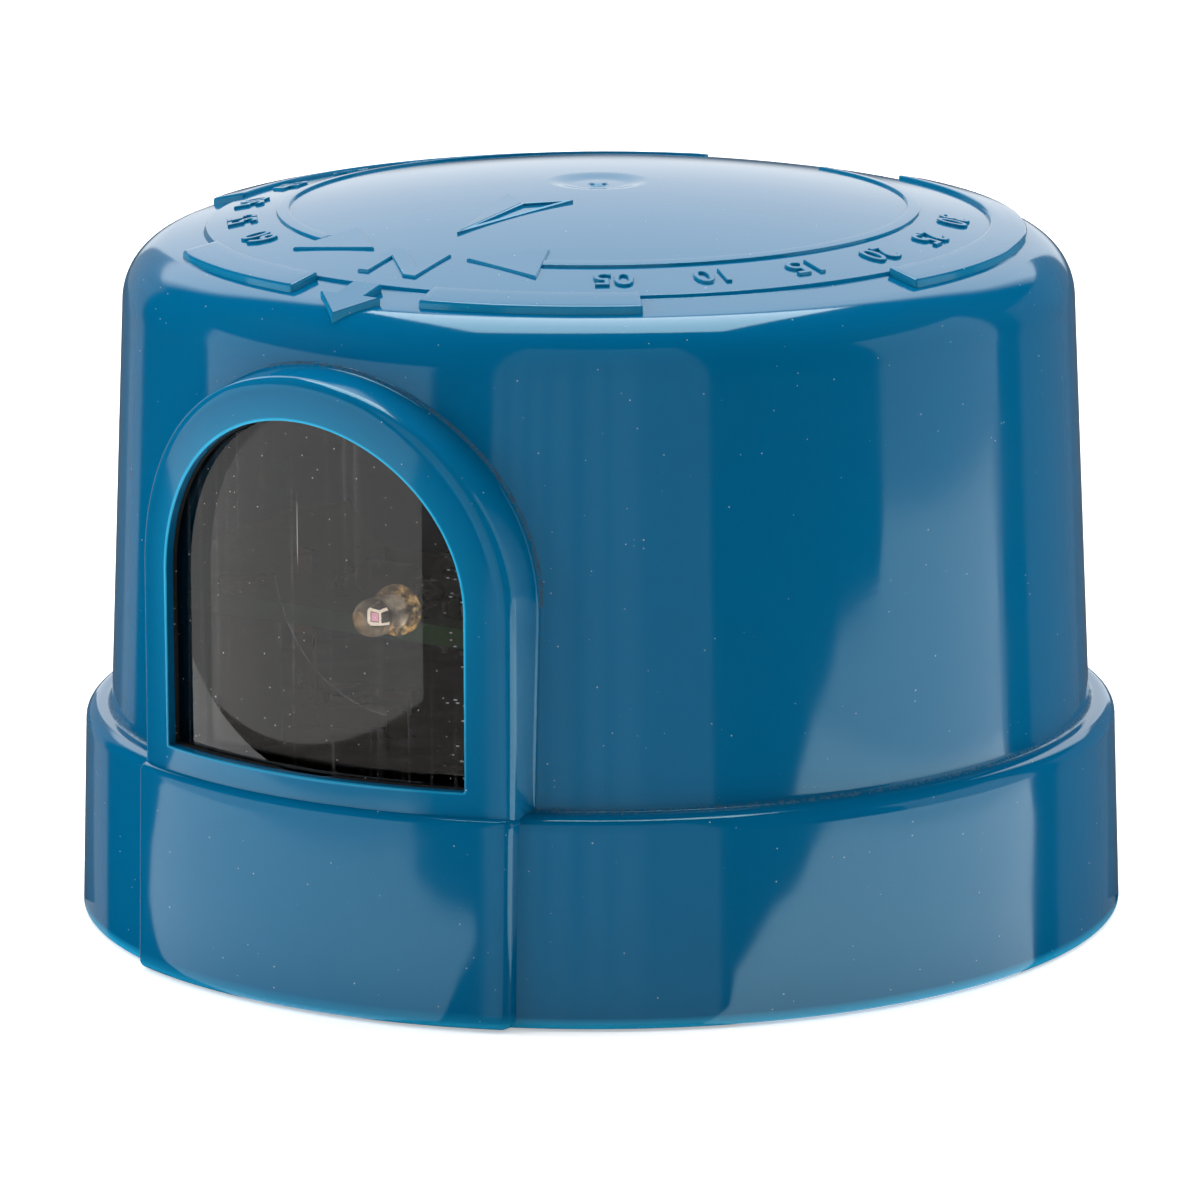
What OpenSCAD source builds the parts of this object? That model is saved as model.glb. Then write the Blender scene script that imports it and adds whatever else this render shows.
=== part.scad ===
// Twist-lock photocell switch: a moulded cover with an arched window over a light-operated relay,
// closed below by a plug base with three locking blades. Millimetres. Z runs up the axis from the
// skirt's rim, and the window faces -Y, which is the north side of the switch.

/* [Cover] */
// Diameter of the skirt at its rim
skirt_d = 84; // [80:0.5:92]
// Height of the skirt from its rim to the shoulder
skirt_h = 16.5; // [15:0.5:20]
// Radius that the skirt loses between rim and shoulder
skirt_draft = 0.5; // [0:0.05:0.8]
// Width of the shoulder between skirt and wall
shoulder_w = 2.05; // [1.7:0.05:3]
// Round on the outer edge of the shoulder
shoulder_r = 1.3; // [0.6:0.1:1.5]
// Fillet where the wall rises from the shoulder
foot_r = 0.5; // [0.2:0.1:0.6]
// Thickness of the moulded wall
wall = 2.2; // [1.6:0.1:2.6]
// Draft angle of the tapered wall, in degrees
wall_draft = 2.4; // [1:0.1:3.5]
// Height of the cover from the rim to the top of the crown
cover_h = 58.5; // [57:0.5:66]
// Radius of the crowned top
crown_r = 145; // [120:1:200]
// Round between the crown and the wall
crown_edge_r = 5; // [4:0.1:6]

/* [Top relief] */
// Diameter of the raised disc on the crown
disc_d = 62.8; // [60:0.2:64]
// Height of the disc above the crown
disc_h = 0.25; // [0.1:0.05:0.5]
// Radial width of the raised pads around the disc
pad_w = 2.8; // [2:0.1:3.2]
// Height of the pads above the crown
pad_h = 0.7; // [0.4:0.05:1]
// First and last angle of the short pads, from north
pad_short = [10, 39.5]; // [8:0.5:60]
// First and last angle of the long pads, from north
pad_long = [79.5, 162]; // [60:0.5:172]
// Diameter of the ring that the turning arrows follow
arrow_ring_d = 50.4; // [46:0.2:54]
// Width of the turning arrows' shafts
arrow_w = 1; // [0.6:0.1:1.4]
// Height of the arrows above the disc
arrow_h = 0.3; // [0.2:0.05:0.4]
// Angles of an arrow's tip, of its head's back and of its tail, from north
arrow_span = [10, 24, 167]; // [8:1:172]
// Width of a turning arrow's head
arrow_head_w = 6; // [4:0.2:7]
// Distances from the axis of the needle's tip, notch and back corners
needle_at = [19.8, 10.8, 8.2]; // [6:0.2:21]
// Width of the needle over its back corners
needle_w = 6.2; // [4:0.2:8]
// Distances from the axis of the north arrow's tail, head and tip
north_at = [31.9, 34.2, 36.6]; // [31:0.1:37]
// Width of the north arrow's shaft
north_w = 2.6; // [1.6:0.1:3.2]
// Width of the north arrow's head
north_head_w = 5.6; // [4:0.2:6.4]
// Diameter of the dimple over the moulding gate
gate_d = 6; // [4:0.5:8]
// Depth of that dimple
gate_deep = 0.3; // [0.1:0.05:0.5]

/* [Window] */
// Width of the window's opening, twice the radius of its arch
window_w = 28; // [24:0.5:29]
// Height of the opening's straight sides
window_side_h = 13.7; // [10:0.1:14]
// Height of the sill above the shoulder
sill_h = 1.9; // [1.4:0.1:3]
// Width of the frame around the opening
frame_w = 3.4; // [3:0.1:4]
// Distance that the frame's face stands proud of the wall at the shoulder
frame_proud = 2.6; // [2.2:0.1:3]
// Draft angle of the frame's sides, in degrees
frame_draft = 3; // [1:0.5:5]
// Thickness of the frame's front lip
frame_lip = 0.9; // [0.7:0.1:1.2]
// Thickness of the frame's side wall outside the pane's pocket
frame_side = 1.6; // [1.2:0.1:2]
// Distance that the panel below the window stands proud of the skirt
panel_proud = 1.2; // [0.8:0.1:1.6]
// Width that the panel adds to the frame on each side
panel_step = 0.2; // [0:0.1:0.6]
// Thickness of the curved pane
pane_t = 2.1; // [1.5:0.1:2.4]
// Thickness of the seal between pane and frame
seal_t = 0.4; // [0.3:0.1:0.8]
// Width of the seal showing inside the opening
seal_show = 0.1; // [0.05:0.05:0.4]
// Clearance around the pane in its pocket
pane_fit = 0.2; // [0.1:0.05:0.4]

/* [Base] */
// Thickness of the base disc
base_t = 2.6; // [2:0.1:3.2]
// Clearance between the base and the cover around it
base_fit = 0.25; // [0.15:0.05:0.4]
// Height of the locating walls that stand inside the cover
locator_h = 4; // [3:0.5:6]
// Thickness of the locating walls
locator_t = 1.6; // [1.2:0.1:2]
// Angle that each locating wall covers
locator_a = 28; // [16:1:32]
// Distance that the cover's snap lugs reach under the base
snap_reach = 0.8; // [0.5:0.1:1]
// Height of a snap lug
snap_h = 2; // [1.6:0.1:3]
// Clearance between base and snap lug
snap_gap = 0.1; // [0.05:0.05:0.2]
// Angle that each snap lug covers
snap_a = 16; // [10:1:24]
// Distance of the board posts from both centre planes
post_at = 20.5; // [19.5:0.1:21.5]
// Diameter of a board post
post_d = 6; // [4.5:0.1:7]
// Height of the board posts above the base
post_h = 10.9; // [8:0.1:14]
// Diameter of the pip that holds the board on each post
pip_d = 2.4; // [2:0.1:3]
// Diameter of the staked head on a pip
pip_head_d = 3.8; // [3.4:0.1:4.4]
// Height of the staked head
pip_head_h = 0.9; // [0.6:0.1:1.2]

/* [Plug] */
// Diameter of the ring through the blades' middle
blade_ring_d = 33.2; // [31:0.2:35]
// Thickness of the blades' brass strip
blade_t = 1.6; // [1.2:0.1:1.8]
// Width of the line and load blades
blade_w = 8; // [7:0.1:9]
// Width of the neutral blade
neutral_w = 10.5; // [9.5:0.1:11.5]
// Width of the locking hook at a blade's end
hook_w = 2.6; // [2:0.1:3]
// Height of the locking hook
hook_h = 4.2; // [3.4:0.1:5]
// Distance that the blades' tips stay above the rim's plane
tip_gap = 0.5; // [0.2:0.1:1.5]
// Clearance of a blade in its slot through the base
slot_fit = 0.2; // [0.1:0.05:0.3]
// Width of the blades' foot on the base
foot_w = 6; // [5:0.1:6.6]
// Distance from the axis to the middle of the solder tails
tail_at = 24; // [23:0.1:25]
// Width of the solder tails
tail_w = 3; // [2.4:0.1:3.6]
// Distance from the axis to the rivets
rivet_at = 20.4; // [20.2:0.1:20.6]
// Diameter of a rivet's shank
rivet_d = 3; // [2.4:0.1:3.2]
// Diameter of a rivet's head
rivet_head_d = 4.6; // [4:0.1:4.8]
// Height of a rivet's head
rivet_head_h = 0.8; // [0.6:0.1:1.1]
// Clearance around a rivet's shank
rivet_fit = 0.1; // [0.05:0.05:0.2]
// Outer diameter of the sponge gasket
gasket_d = 68; // [62:0.5:72]
// Inner diameter of the sponge gasket
gasket_bore = 48; // [47:0.5:54]
// Thickness of the sponge gasket
gasket_t = 3.2; // [2:0.1:4]

/* [Board] */
// Clearance between the board's round edge and the cover
board_gap = 2.5; // [2:0.1:3.5]
// Distance from the axis to the board's straight front edge
board_front = 23.4; // [23.2:0.1:24.5]
// Thickness of the board
board_t = 1.6; // [1:0.1:2]
// Diameter of the leads of small parts
fine_lead_d = 0.6; // [0.4:0.05:0.7]
// Diameter of the leads of power parts
power_lead_d = 0.9; // [0.7:0.05:1]
// Clearance of a lead, tail or pip in its hole
hole_fit = 0.15; // [0.1:0.05:0.25]
// Radius of the bend in a formed lead
lead_bend = 1; // [0.7:0.05:1.1]
// Length of a lead below the board
lead_tail = 1.3; // [1:0.1:2]
// Height of a solder joint
solder_h = 0.9; // [0.6:0.1:1]
// Width of solder around a lead at the board
solder_w = 0.6; // [0.4:0.1:0.8]

/* [Light sensor] */
// Diameter of the sensor's lens
sensor_d = 3; // [2.6:0.1:3.4]
// Length of the sensor from the flange's back to the lens tip
sensor_len = 5.2; // [4.8:0.1:6]
// Diameter of the sensor's flange
flange_d = 4; // [3.8:0.1:4.4]
// Thickness of the sensor's flange
flange_t = 1; // [0.7:0.1:1.3]
// Distance from the pane's back to the lens tip
sensor_gap = 5.9; // [4.5:0.1:6.5]
// Height of the sensor's axis above the board
sensor_lift = 2.1; // [1.5:0.1:3]
// Distance between the sensor's leads
sensor_pitch = 1.8; // [1.6:0.1:2]
// Distance from the axis to the holes of the sensor's leads
sensor_hole = 20.5; // [19.5:0.1:21]
// Length of the leads' posts inside the lens
sensor_post = 2.6; // [2:0.1:3]
// Edge of the square light chip
chip_w = 0.8; // [0.5:0.05:0.9]
// Thickness of the light chip
chip_t = 0.25; // [0.15:0.05:0.4]

/* [Parts on the board] */
// Chamfer on the ends of round parts that lie on the board
body_chamfer = 0.4; // [0.2:0.05:0.6]
// Length, width and height of the relay
relay_size = [19, 15.5, 15.6]; // [12:0.1:20]
// Place of the relay's middle
relay_at = [-11, 6]; // [-12:0.5:12]
// Distances between the relay's pins along its length and width
relay_pitch = [14, 12]; // [8:0.1:15]
// Length, width and height of the film capacitor
film_size = [18, 8.5, 14.5]; // [6:0.1:19]
// Place of the film capacitor's middle
film_at = [12, 12]; // [-14:0.5:14]
// Distance between the film capacitor's leads
film_pitch = 15; // [10:0.5:16]
// Diameter of the filter capacitor
filter_d = 10; // [8:0.1:11]
// Height of the filter capacitor
filter_h = 16; // [12:0.1:18]
// Depth of the crimped groove around the filter capacitor
filter_groove = 0.5; // [0.3:0.05:0.7]
// Height of that groove above the board
groove_at = 2; // [1.5:0.1:3]
// Place of the filter capacitor's axis
filter_at = [20, -1]; // [-21:0.5:21]
// Distance between the filter capacitor's leads
filter_pitch = 5; // [4:0.1:6]
// Diameter of the surge arrester's disc
arrester_d = 14; // [10:0.1:15]
// Thickness of the surge arrester's disc
arrester_t = 4.2; // [3.5:0.1:5]
// Place of the surge arrester's middle
arrester_at = [-12, -7]; // [-14:0.5:14]
// Distance between the surge arrester's leads
arrester_pitch = 7.5; // [6:0.1:8]
// Distance of the surge arrester's disc above the board
arrester_lift = 1.4; // [1:0.1:3]
// Diameter of the dropper resistor
dropper_d = 5.4; // [4.5:0.1:5.8]
// Length of the dropper resistor
dropper_len = 15; // [12:0.1:16]
// Place of the dropper resistor's middle
dropper_at = [6.5, -7]; // [-10:0.5:10]
// Distance between the dropper resistor's leads
dropper_pitch = 20; // [19:0.1:20.5]
// Distance of the dropper resistor above the board
dropper_lift = 2; // [1:0.1:4]
// Diameter of a rectifier diode
diode_d = 2.7; // [2.2:0.1:2.8]
// Length of a rectifier diode
diode_len = 5.2; // [4:0.1:6]
// Places of the rectifier diodes' middles
diode_at = [[8, -12.5], [8, -16.5], [-9, -12.5], [-9, -16.5]]; // [-20:0.5:20]
// Diameter of a bias resistor or of the zener diode
small_d = 2.3; // [1.8:0.1:2.5]
// Length of a bias resistor or of the zener diode
small_len = 6; // [4:0.1:6.4]
// Places of the bias resistors' middles
bias_at = [[-11, 17], [-11, 20.5], [10, 20]]; // [-25:0.5:25]
// Place of the zener diode's middle
zener_at = [10, 24]; // [-25:0.5:25]
// Distance between the two leads of a diode or bias resistor
small_pitch = 10; // [9.6:0.1:10.4]
// Diameter of the switching transistor
transistor_d = 4.6; // [4:0.1:4.8]
// Height of the switching transistor
transistor_h = 4.6; // [4:0.1:5.2]
// Distance of the switching transistor above the board
transistor_lift = 2; // [1:0.1:4]
// Place of the switching transistor's axis
transistor_at = [-0.5, -13.5]; // [-15:0.5:15]
// Distance between the switching transistor's leads
transistor_pitch = 1.3; // [1.2:0.05:1.4]
// Flat on the switching transistor's front, from its axis
transistor_flat = 1.2; // [1:0.1:1.6]

/* [Hidden] */
$fa = 4;
$fs = 0.3;
eps = 0.01;
// Length by which a cutting or trimmed shape runs past the solid that it cuts
over = 6;
// Number of straight steps in an edge round and in the crown's arc
edge_steps = 8;
crown_steps = 12;
// Depth to which raised marks are rooted in the crown
root = 0.8;
// Angles of the four snap lugs, locating walls and posts, and of the blades, from +X
quarter_angles = [45, 135, 225, 315];
line_angle = -30;
load_angle = 210;
neutral_angle = 90;

// Outline of the cover
skirt_r = skirt_d / 2;
skirt_top_r = skirt_r - skirt_draft;
body_r = skirt_top_r - shoulder_w;
draft_tan = tan(wall_draft);
ledge_z = skirt_h - wall;
crown_z = cover_h - disc_h - crown_r;
// The edge round touches both the tapered wall and the crown's sphere: its centre lies on the wall
// moved in by its radius, and on the sphere shrunk by its radius.
edge_a = body_r + skirt_h * draft_tan - crown_edge_r / cos(wall_draft);
edge_qa = 1 + draft_tan ^ 2;
edge_qb = -2 * (edge_a * draft_tan + crown_z);
edge_qc = edge_a ^ 2 + crown_z ^ 2 - (crown_r - crown_edge_r) ^ 2;
edge_z = (-edge_qb + sqrt(edge_qb ^ 2 - 4 * edge_qa * edge_qc)) / (2 * edge_qa);
edge_c = [edge_a - edge_z * draft_tan, edge_z];
crown_a = atan2(edge_z - crown_z, edge_c.x);
disc_a = acos(disc_d / 2 / crown_r);

// Window, frame and panel
sill_z = skirt_h + sill_h;
arch_z = sill_z + window_side_h;
opening_half = window_w / 2;
frame_half = opening_half + frame_w;
panel_half = frame_half + panel_step;
pocket_half = frame_half - frame_side;
pane_half = pocket_half - pane_fit;
frame_r = body_r + frame_proud;
panel_r = skirt_r + panel_proud;
pocket_r = frame_r - frame_lip;
pane_r = pocket_r - seal_t;
pane_back_r = pane_r - pane_t;
recess_r = panel_r - wall;

// Base and plug
base_top = ledge_z;
base_bottom = base_top - base_t;
base_r = skirt_in_r(ledge_z) - base_fit;
locator_r = wall_in_r(base_top + locator_h) - base_fit;
gasket_z = base_bottom - gasket_t;
pane_bottom = base_top + pane_fit;
blade_r = blade_ring_d / 2;

// Board and its parts
board_bottom = base_top + post_h;
board_top = board_bottom + board_t;
board_r = wall_in_r(board_top) - board_gap;
sensor_tip = pane_back_r - sensor_gap;
sensor_back = sensor_tip - sensor_len;
sensor_z = board_top + sensor_lift;
chip_at = sensor_back + sensor_post;
post_places = [for (x = [-1, 1], y = [-1, 1]) post_at * [x, y]];
tail_angles = [line_angle, load_angle, neutral_angle];
sensor_holes = [for (s = [-1, 1]) [s * sensor_pitch / 2, -sensor_hole]];
relay_holes = [for (x = [-1, 1], y = [-1, 1]) relay_at + [x * relay_pitch.x, y * relay_pitch.y] / 2];
film_holes = two_holes(film_at, film_pitch);
filter_holes = two_holes(filter_at, filter_pitch);
arrester_holes = two_holes(arrester_at, arrester_pitch);
dropper_holes = two_holes(dropper_at, dropper_pitch);
diode_holes = [for (p = diode_at) each two_holes(p, small_pitch)];
bias_holes = [for (p = bias_at) each two_holes(p, small_pitch)];
zener_holes = two_holes(zener_at, small_pitch);
transistor_holes = [for (i = [-1:1]) transistor_at + [i * transistor_pitch, 0]];
fine_holes = concat(sensor_holes, bias_holes, zener_holes, transistor_holes);
power_holes = concat(relay_holes, film_holes, filter_holes, arrester_holes, dropper_holes, diode_holes);

// Outer radius of the tapered wall, and inner radii of the wall and of the skirt, at height z
function wall_r(z) = body_r - (z - skirt_h) * draft_tan;
function wall_in_r(z) = wall_r(z) - wall / cos(wall_draft);
function skirt_in_r(z) = skirt_r - wall - skirt_draft * z / skirt_h;

// Two holes a pitch apart along X around a place
function two_holes(place, pitch) = [for (s = [-1, 1]) place + [s * pitch / 2, 0]];

// Points along an arc, in equal steps
function arc(centre, r, from, to, steps) =
    [for (i = [0:steps]) let (a = from + (to - from) * i / steps) centre + r * [cos(a), sin(a)]];

// The edge round, the crown from it to an angle, and both up to the axis, moved out by lift
function edge_arc(lift) = arc(edge_c, crown_edge_r + lift, wall_draft, crown_a, edge_steps);
function crown_arc(lift, from, to) = arc([0, crown_z], crown_r + lift, from, to, crown_steps);
function crown_line(lift) = concat(edge_arc(lift), crown_arc(lift, crown_a, 90));

// Point in plan at a distance from the axis and an angle from north
function from_north(r, a) = r * [sin(a), -cos(a)];

// Solid under the crown's surface moved out by lift
module crown_solid(lift) {
    low = edge_z - root;
    rotate_extrude() polygon(concat([[0, low], [wall_r(low) + lift, low]], crown_line(lift)));
}

// Raises its plan outline from the crown to a height above it, round the edge as well
module raised(height) {
    intersection() {
        translate([0, 0, edge_z]) linear_extrude(cover_h - edge_z + over) children();
        difference() {
            crown_solid(height);
            crown_solid(-root);
        }
    }
}

// Turns a profile of radius and height about the axis between two angles from north
module turned(from, to) {
    rotate([0, 0, from - 90]) rotate_extrude(angle = to - from) children();
}

// Strip that follows the crown between two radii, rooted in it
module crown_strip(r0, r1, height, from, to) {
    a0 = acos(r0 / crown_r);
    a1 = acos(r1 / crown_r);
    turned(from, to) polygon(concat(
        crown_arc(-root, a1, a0), crown_arc(height, a0, a1)));
}

// Outline with an arched top in the XZ plane, run from the axis towards -Y as far as length
module arch_bar(half_w, bottom, length) {
    translate([0, 0, arch_z]) rotate([90, 0, 0]) cylinder(h = length, r = half_w);
    translate([-half_w, -length, bottom]) cube([2 * half_w, length, arch_z - bottom]);
}

// Front of a round wall: what lies within a radius, from the axis towards -Y
module inside(r, bottom, top) {
    translate([0, 0, bottom]) cylinder(h = top - bottom, r = r);
}

// Prism on the window side whose half width shrinks by the frame's draft towards its face
module drafted_bar(half_w, face_r, bottom, top) {
    back_half = half_w + face_r * tan(frame_draft);
    translate([0, 0, bottom]) linear_extrude(top - bottom)
        polygon([[-back_half, 0], [-half_w, -face_r], [half_w, -face_r], [back_half, 0]]);
}

// Arched frame of the window with its face on a cylinder about the axis
module window_frame() {
    intersection() {
        inside(frame_r, 0, cover_h);
        union() {
            translate([0, 0, arch_z]) rotate([90, 0, 0])
                cylinder(h = frame_r, r1 = frame_half + frame_r * tan(frame_draft), r2 = frame_half);
            drafted_bar(frame_half, frame_r, 0, arch_z);
        }
    }
}

// Panel of the skirt below the window
module skirt_panel() {
    intersection() {
        inside(panel_r, 0, skirt_h);
        drafted_bar(panel_half, panel_r, 0, skirt_h);
    }
}

// Filled outside form of skirt, shoulder, wall and crown with its disc
module cover_outside() {
    shoulder_c = [skirt_top_r - shoulder_r, skirt_h - shoulder_r];
    foot_c = [wall_r(skirt_h) + foot_r, skirt_h + foot_r];
    rotate_extrude() polygon(concat(
        [[0, 0], [skirt_r, 0]],
        arc(shoulder_c, shoulder_r, 0, 90, edge_steps),
        arc(foot_c, foot_r, 270, 180, edge_steps),
        edge_arc(0),
        crown_arc(0, crown_a, disc_a),
        crown_arc(disc_h, disc_a, 90)));
}

// Hollow of the cover: the room inside the wall, and the wider one inside the skirt
module cover_hollow() {
    rotate_extrude() polygon(concat(
        [[0, -eps], [skirt_in_r(-eps), -eps], [skirt_in_r(ledge_z), ledge_z], [wall_in_r(ledge_z), ledge_z]],
        crown_line(-wall)));
}

// The two turning arrows, mirrored about north, with heads that point to it
module turning_arrows() {
    ring_r = arrow_ring_d / 2;
    for (side = [0, 1]) mirror([side, 0, 0]) {
        crown_strip(ring_r - arrow_w / 2, ring_r + arrow_w / 2, disc_h + arrow_h,
            arrow_span[1], arrow_span[2]);
        raised(disc_h + arrow_h) polygon([
            from_north(ring_r, arrow_span[0]),
            from_north(ring_r + arrow_head_w / 2, arrow_span[1]),
            from_north(ring_r - arrow_head_w / 2, arrow_span[1])]);
    }
}

// Compass needle and the arrow over the crown's edge that point north
module north_marks() {
    raised(disc_h + arrow_h) polygon([
        [0, -needle_at[0]], [needle_w / 2, -needle_at[2]],
        [0, -needle_at[1]], [-needle_w / 2, -needle_at[2]]]);
    raised(pad_h) polygon([
        [-north_w / 2, -north_at[0]], [-north_w / 2, -north_at[1]], [-north_head_w / 2, -north_at[1]],
        [0, -north_at[2]],
        [north_head_w / 2, -north_at[1]], [north_w / 2, -north_at[1]], [north_w / 2, -north_at[0]]]);
}

// Four raised pads around the disc
module crown_pads() {
    for (side = [0, 1], span = [pad_short, pad_long]) mirror([side, 0, 0])
        crown_strip(disc_d / 2, disc_d / 2 + pad_w, pad_h, span[0], span[1]);
}

// Lugs inside the skirt that hold the base up against the ledge
module snap_lugs() {
    top = base_bottom - snap_gap;
    for (a = quarter_angles) rotate([0, 0, a - snap_a / 2]) rotate_extrude(angle = snap_a)
        polygon([
            [skirt_in_r(top) + wall / 2, top],
            [skirt_in_r(top) - snap_reach, top],
            [skirt_in_r(top - snap_h), top - snap_h],
            [skirt_in_r(top) + wall / 2, top - snap_h]]);
}

module cover() {
    gate_r = (gate_d ^ 2 / 4 + gate_deep ^ 2) / (2 * gate_deep);
    color("#0a6299") {
        difference() {
            union() {
                cover_outside();
                window_frame();
                skirt_panel();
                crown_pads();
                turning_arrows();
                north_marks();
            }
            cover_hollow();
            intersection() {
                arch_bar(pocket_half, ledge_z - eps, pocket_r + over);
                inside(pocket_r, 0, cover_h);
            }
            intersection() {
                drafted_bar(pocket_half, recess_r, -eps, ledge_z);
                inside(recess_r, -eps, ledge_z);
            }
            arch_bar(opening_half, sill_z, frame_r + over);
            translate([0, 0, cover_h - gate_deep + gate_r]) sphere(r = gate_r);
        }
        snap_lugs();
    }
}

module window_pane() {
    color("#3a3c3e", 0.5) difference() {
        intersection() {
            arch_bar(pane_half, pane_bottom, pane_r + over);
            inside(pane_r, 0, cover_h);
        }
        inside(pane_back_r, 0, cover_h);
    }
}

module window_seal() {
    color("#141414") difference() {
        intersection() {
            arch_bar(pane_half, pane_bottom, pocket_r + over);
            inside(pocket_r, 0, cover_h);
        }
        inside(pane_r, 0, cover_h);
        arch_bar(opening_half - seal_show, sill_z + seal_show, pocket_r + over);
    }
}

// Slice of a tube about the axis: a strip of given width bent to a ring, around an angle from +X
module ring_strip(r, t, w, lead, bottom, top, angle) {
    span = (w + lead) / r * 180 / PI;
    start = -w / 2 / r * 180 / PI;
    rotate([0, 0, angle + start]) rotate_extrude(angle = span)
        translate([r - t / 2, bottom]) square([t, top - bottom]);
}

module base() {
    color("#1b1c1e") difference() {
        union() {
            translate([0, 0, base_bottom]) cylinder(h = base_t, r = base_r);
            intersection() {
                drafted_bar(pocket_half - base_fit, recess_r, base_bottom, base_top);
                inside(recess_r - base_fit, base_bottom, base_top);
            }
            for (a = quarter_angles)
                ring_strip(locator_r - locator_t / 2, locator_t, locator_a * PI / 180 * locator_r, 0,
                    base_top - eps, base_top + locator_h, a);
            for (p = post_places) translate([p.x, p.y, base_bottom]) {
                cylinder(h = board_bottom - base_bottom, d = post_d);
                cylinder(h = board_top - base_bottom, d = pip_d);
                translate([0, 0, board_top - base_bottom]) cylinder(h = pip_head_h, d = pip_head_d);
            }
        }
        blade_slot(blade_w, line_angle);
        blade_slot(blade_w, load_angle);
        blade_slot(neutral_w, neutral_angle);
        for (a = tail_angles) rotate([0, 0, a]) translate([rivet_at, 0, base_bottom - over])
            cylinder(h = base_t + 2 * over, d = rivet_d + 2 * rivet_fit);
    }
}

// Slot through the base that lets a blade pass with its hook
module blade_slot(w, angle) {
    ring_strip(blade_r, blade_t + 2 * slot_fit, w + 2 * slot_fit, hook_w,
        base_bottom - over, base_top + over, angle);
}

module gasket() {
    color("#55585a") difference() {
        translate([0, 0, gasket_z]) cylinder(h = gasket_t, d = gasket_d);
        translate([0, 0, gasket_z - over]) cylinder(h = gasket_t + 2 * over, d = gasket_bore);
    }
}

// Formed strip: blade with hook below the base, foot on the base and solder tail up through the board
module blade(w, angle) {
    hook_top = tip_gap + hook_h;
    color("#c9a24b") difference() {
        union() {
            ring_strip(blade_r, blade_t, w, hook_w, tip_gap, hook_top, angle);
            ring_strip(blade_r, blade_t, w, 0, hook_top - eps, base_top + blade_t, angle);
            rotate([0, 0, angle]) {
                translate([blade_r, -foot_w / 2, base_top])
                    cube([tail_at + blade_t / 2 - blade_r, foot_w, blade_t]);
                translate([tail_at - blade_t / 2, -tail_w / 2, base_top])
                    cube([blade_t, tail_w, board_top + lead_tail - base_top]);
            }
        }
        rotate([0, 0, angle]) translate([rivet_at, 0, base_top - over])
            cylinder(h = blade_t + 2 * over, d = rivet_d + 2 * rivet_fit);
    }
}

module line_blade() {
    blade(blade_w, line_angle);
}

module load_blade() {
    blade(blade_w, load_angle);
}

module neutral_blade() {
    blade(neutral_w, neutral_angle);
}

module blade_rivets() {
    grip = base_t + blade_t;
    color("#b9923e") for (a = tail_angles) rotate([0, 0, a]) translate([rivet_at, 0, base_bottom]) {
        translate([0, 0, -rivet_head_h]) cylinder(h = rivet_head_h, d = rivet_head_d);
        cylinder(h = grip, d = rivet_d);
        translate([0, 0, grip]) cylinder(h = rivet_head_h, d = rivet_head_d);
    }
}

// Round bars through the board at each place
module drills(places, d) {
    for (p = places) translate([p.x, p.y, board_bottom - over])
        cylinder(h = board_t + 2 * over, d = d + 2 * hole_fit);
}

module circuit_board() {
    slot = [blade_t, tail_w] + 2 * hole_fit * [1, 1];
    color("#2f6b3c") difference() {
        translate([0, 0, board_bottom]) cylinder(h = board_t, r = board_r);
        translate([-board_r - over, -board_r - over, board_bottom - over])
            cube([2 * (board_r + over), board_r + over - board_front, board_t + 2 * over]);
        drills(fine_holes, fine_lead_d);
        drills(power_holes, power_lead_d);
        drills(post_places, pip_d);
        for (a = tail_angles) rotate([0, 0, a])
            translate([tail_at - slot.x / 2, -slot.y / 2, board_bottom - over])
                cube([slot.x, slot.y, board_t + 2 * over]);
    }
}

// Puts its children on the board at a place in plan
module on_board(place, lift = 0) {
    translate([place.x, place.y, board_top + lift]) children();
}

// Straight leads from the board's top down through it
module pins(places, d, up = 0) {
    for (p = places) translate([p.x, p.y, board_bottom - lead_tail])
        cylinder(h = lead_tail + board_t + up, d = d);
}

// Lead from the origin along +X, bent down over a hole at distance span and cut at depth drop
module formed_lead(d, span, drop) {
    rotate([0, 90, 0]) cylinder(h = span - lead_bend, d = d);
    translate([span - lead_bend, 0, -lead_bend]) rotate([-90, 0, 0]) rotate([0, 0, -90])
        rotate_extrude(angle = 90) translate([lead_bend, 0]) circle(d = d);
    translate([span, 0, -drop]) cylinder(h = drop - lead_bend, d = d);
}

// Both leads of a part that lies along X with its axis at a height above the board
module axial_leads(d, body_len, pitch, axis_h) {
    for (side = [0, 1]) mirror([side, 0, 0]) translate([body_len / 2, 0, axis_h])
        formed_lead(d, (pitch - body_len) / 2, axis_h + board_t + lead_tail);
}

// Round body that lies along X with its axis at a height above the board, with chamfered ends
module axial_body(d, len, axis_h) {
    translate([-len / 2, 0, axis_h]) rotate([0, 90, 0]) rotate_extrude() polygon([
        [0, 0], [d / 2 - body_chamfer, 0], [d / 2, body_chamfer],
        [d / 2, len - body_chamfer], [d / 2 - body_chamfer, len], [0, len]]);
}

// Puts its children on the sensor's axis, with +Z along it towards the window
module sensor_axis() {
    translate([0, 0, sensor_z]) rotate([90, 0, 0]) children();
}

module light_sensor() {
    color("#d9c9a0", 0.6) difference() {
        sensor_axis() {
            translate([0, 0, sensor_back]) cylinder(h = flange_t, d = flange_d);
            translate([0, 0, sensor_back]) cylinder(h = sensor_len - sensor_d / 2, d = sensor_d);
            translate([0, 0, sensor_tip - sensor_d / 2]) sphere(d = sensor_d);
        }
        light_sensor_leads();
        light_sensor_chip();
    }
}

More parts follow.
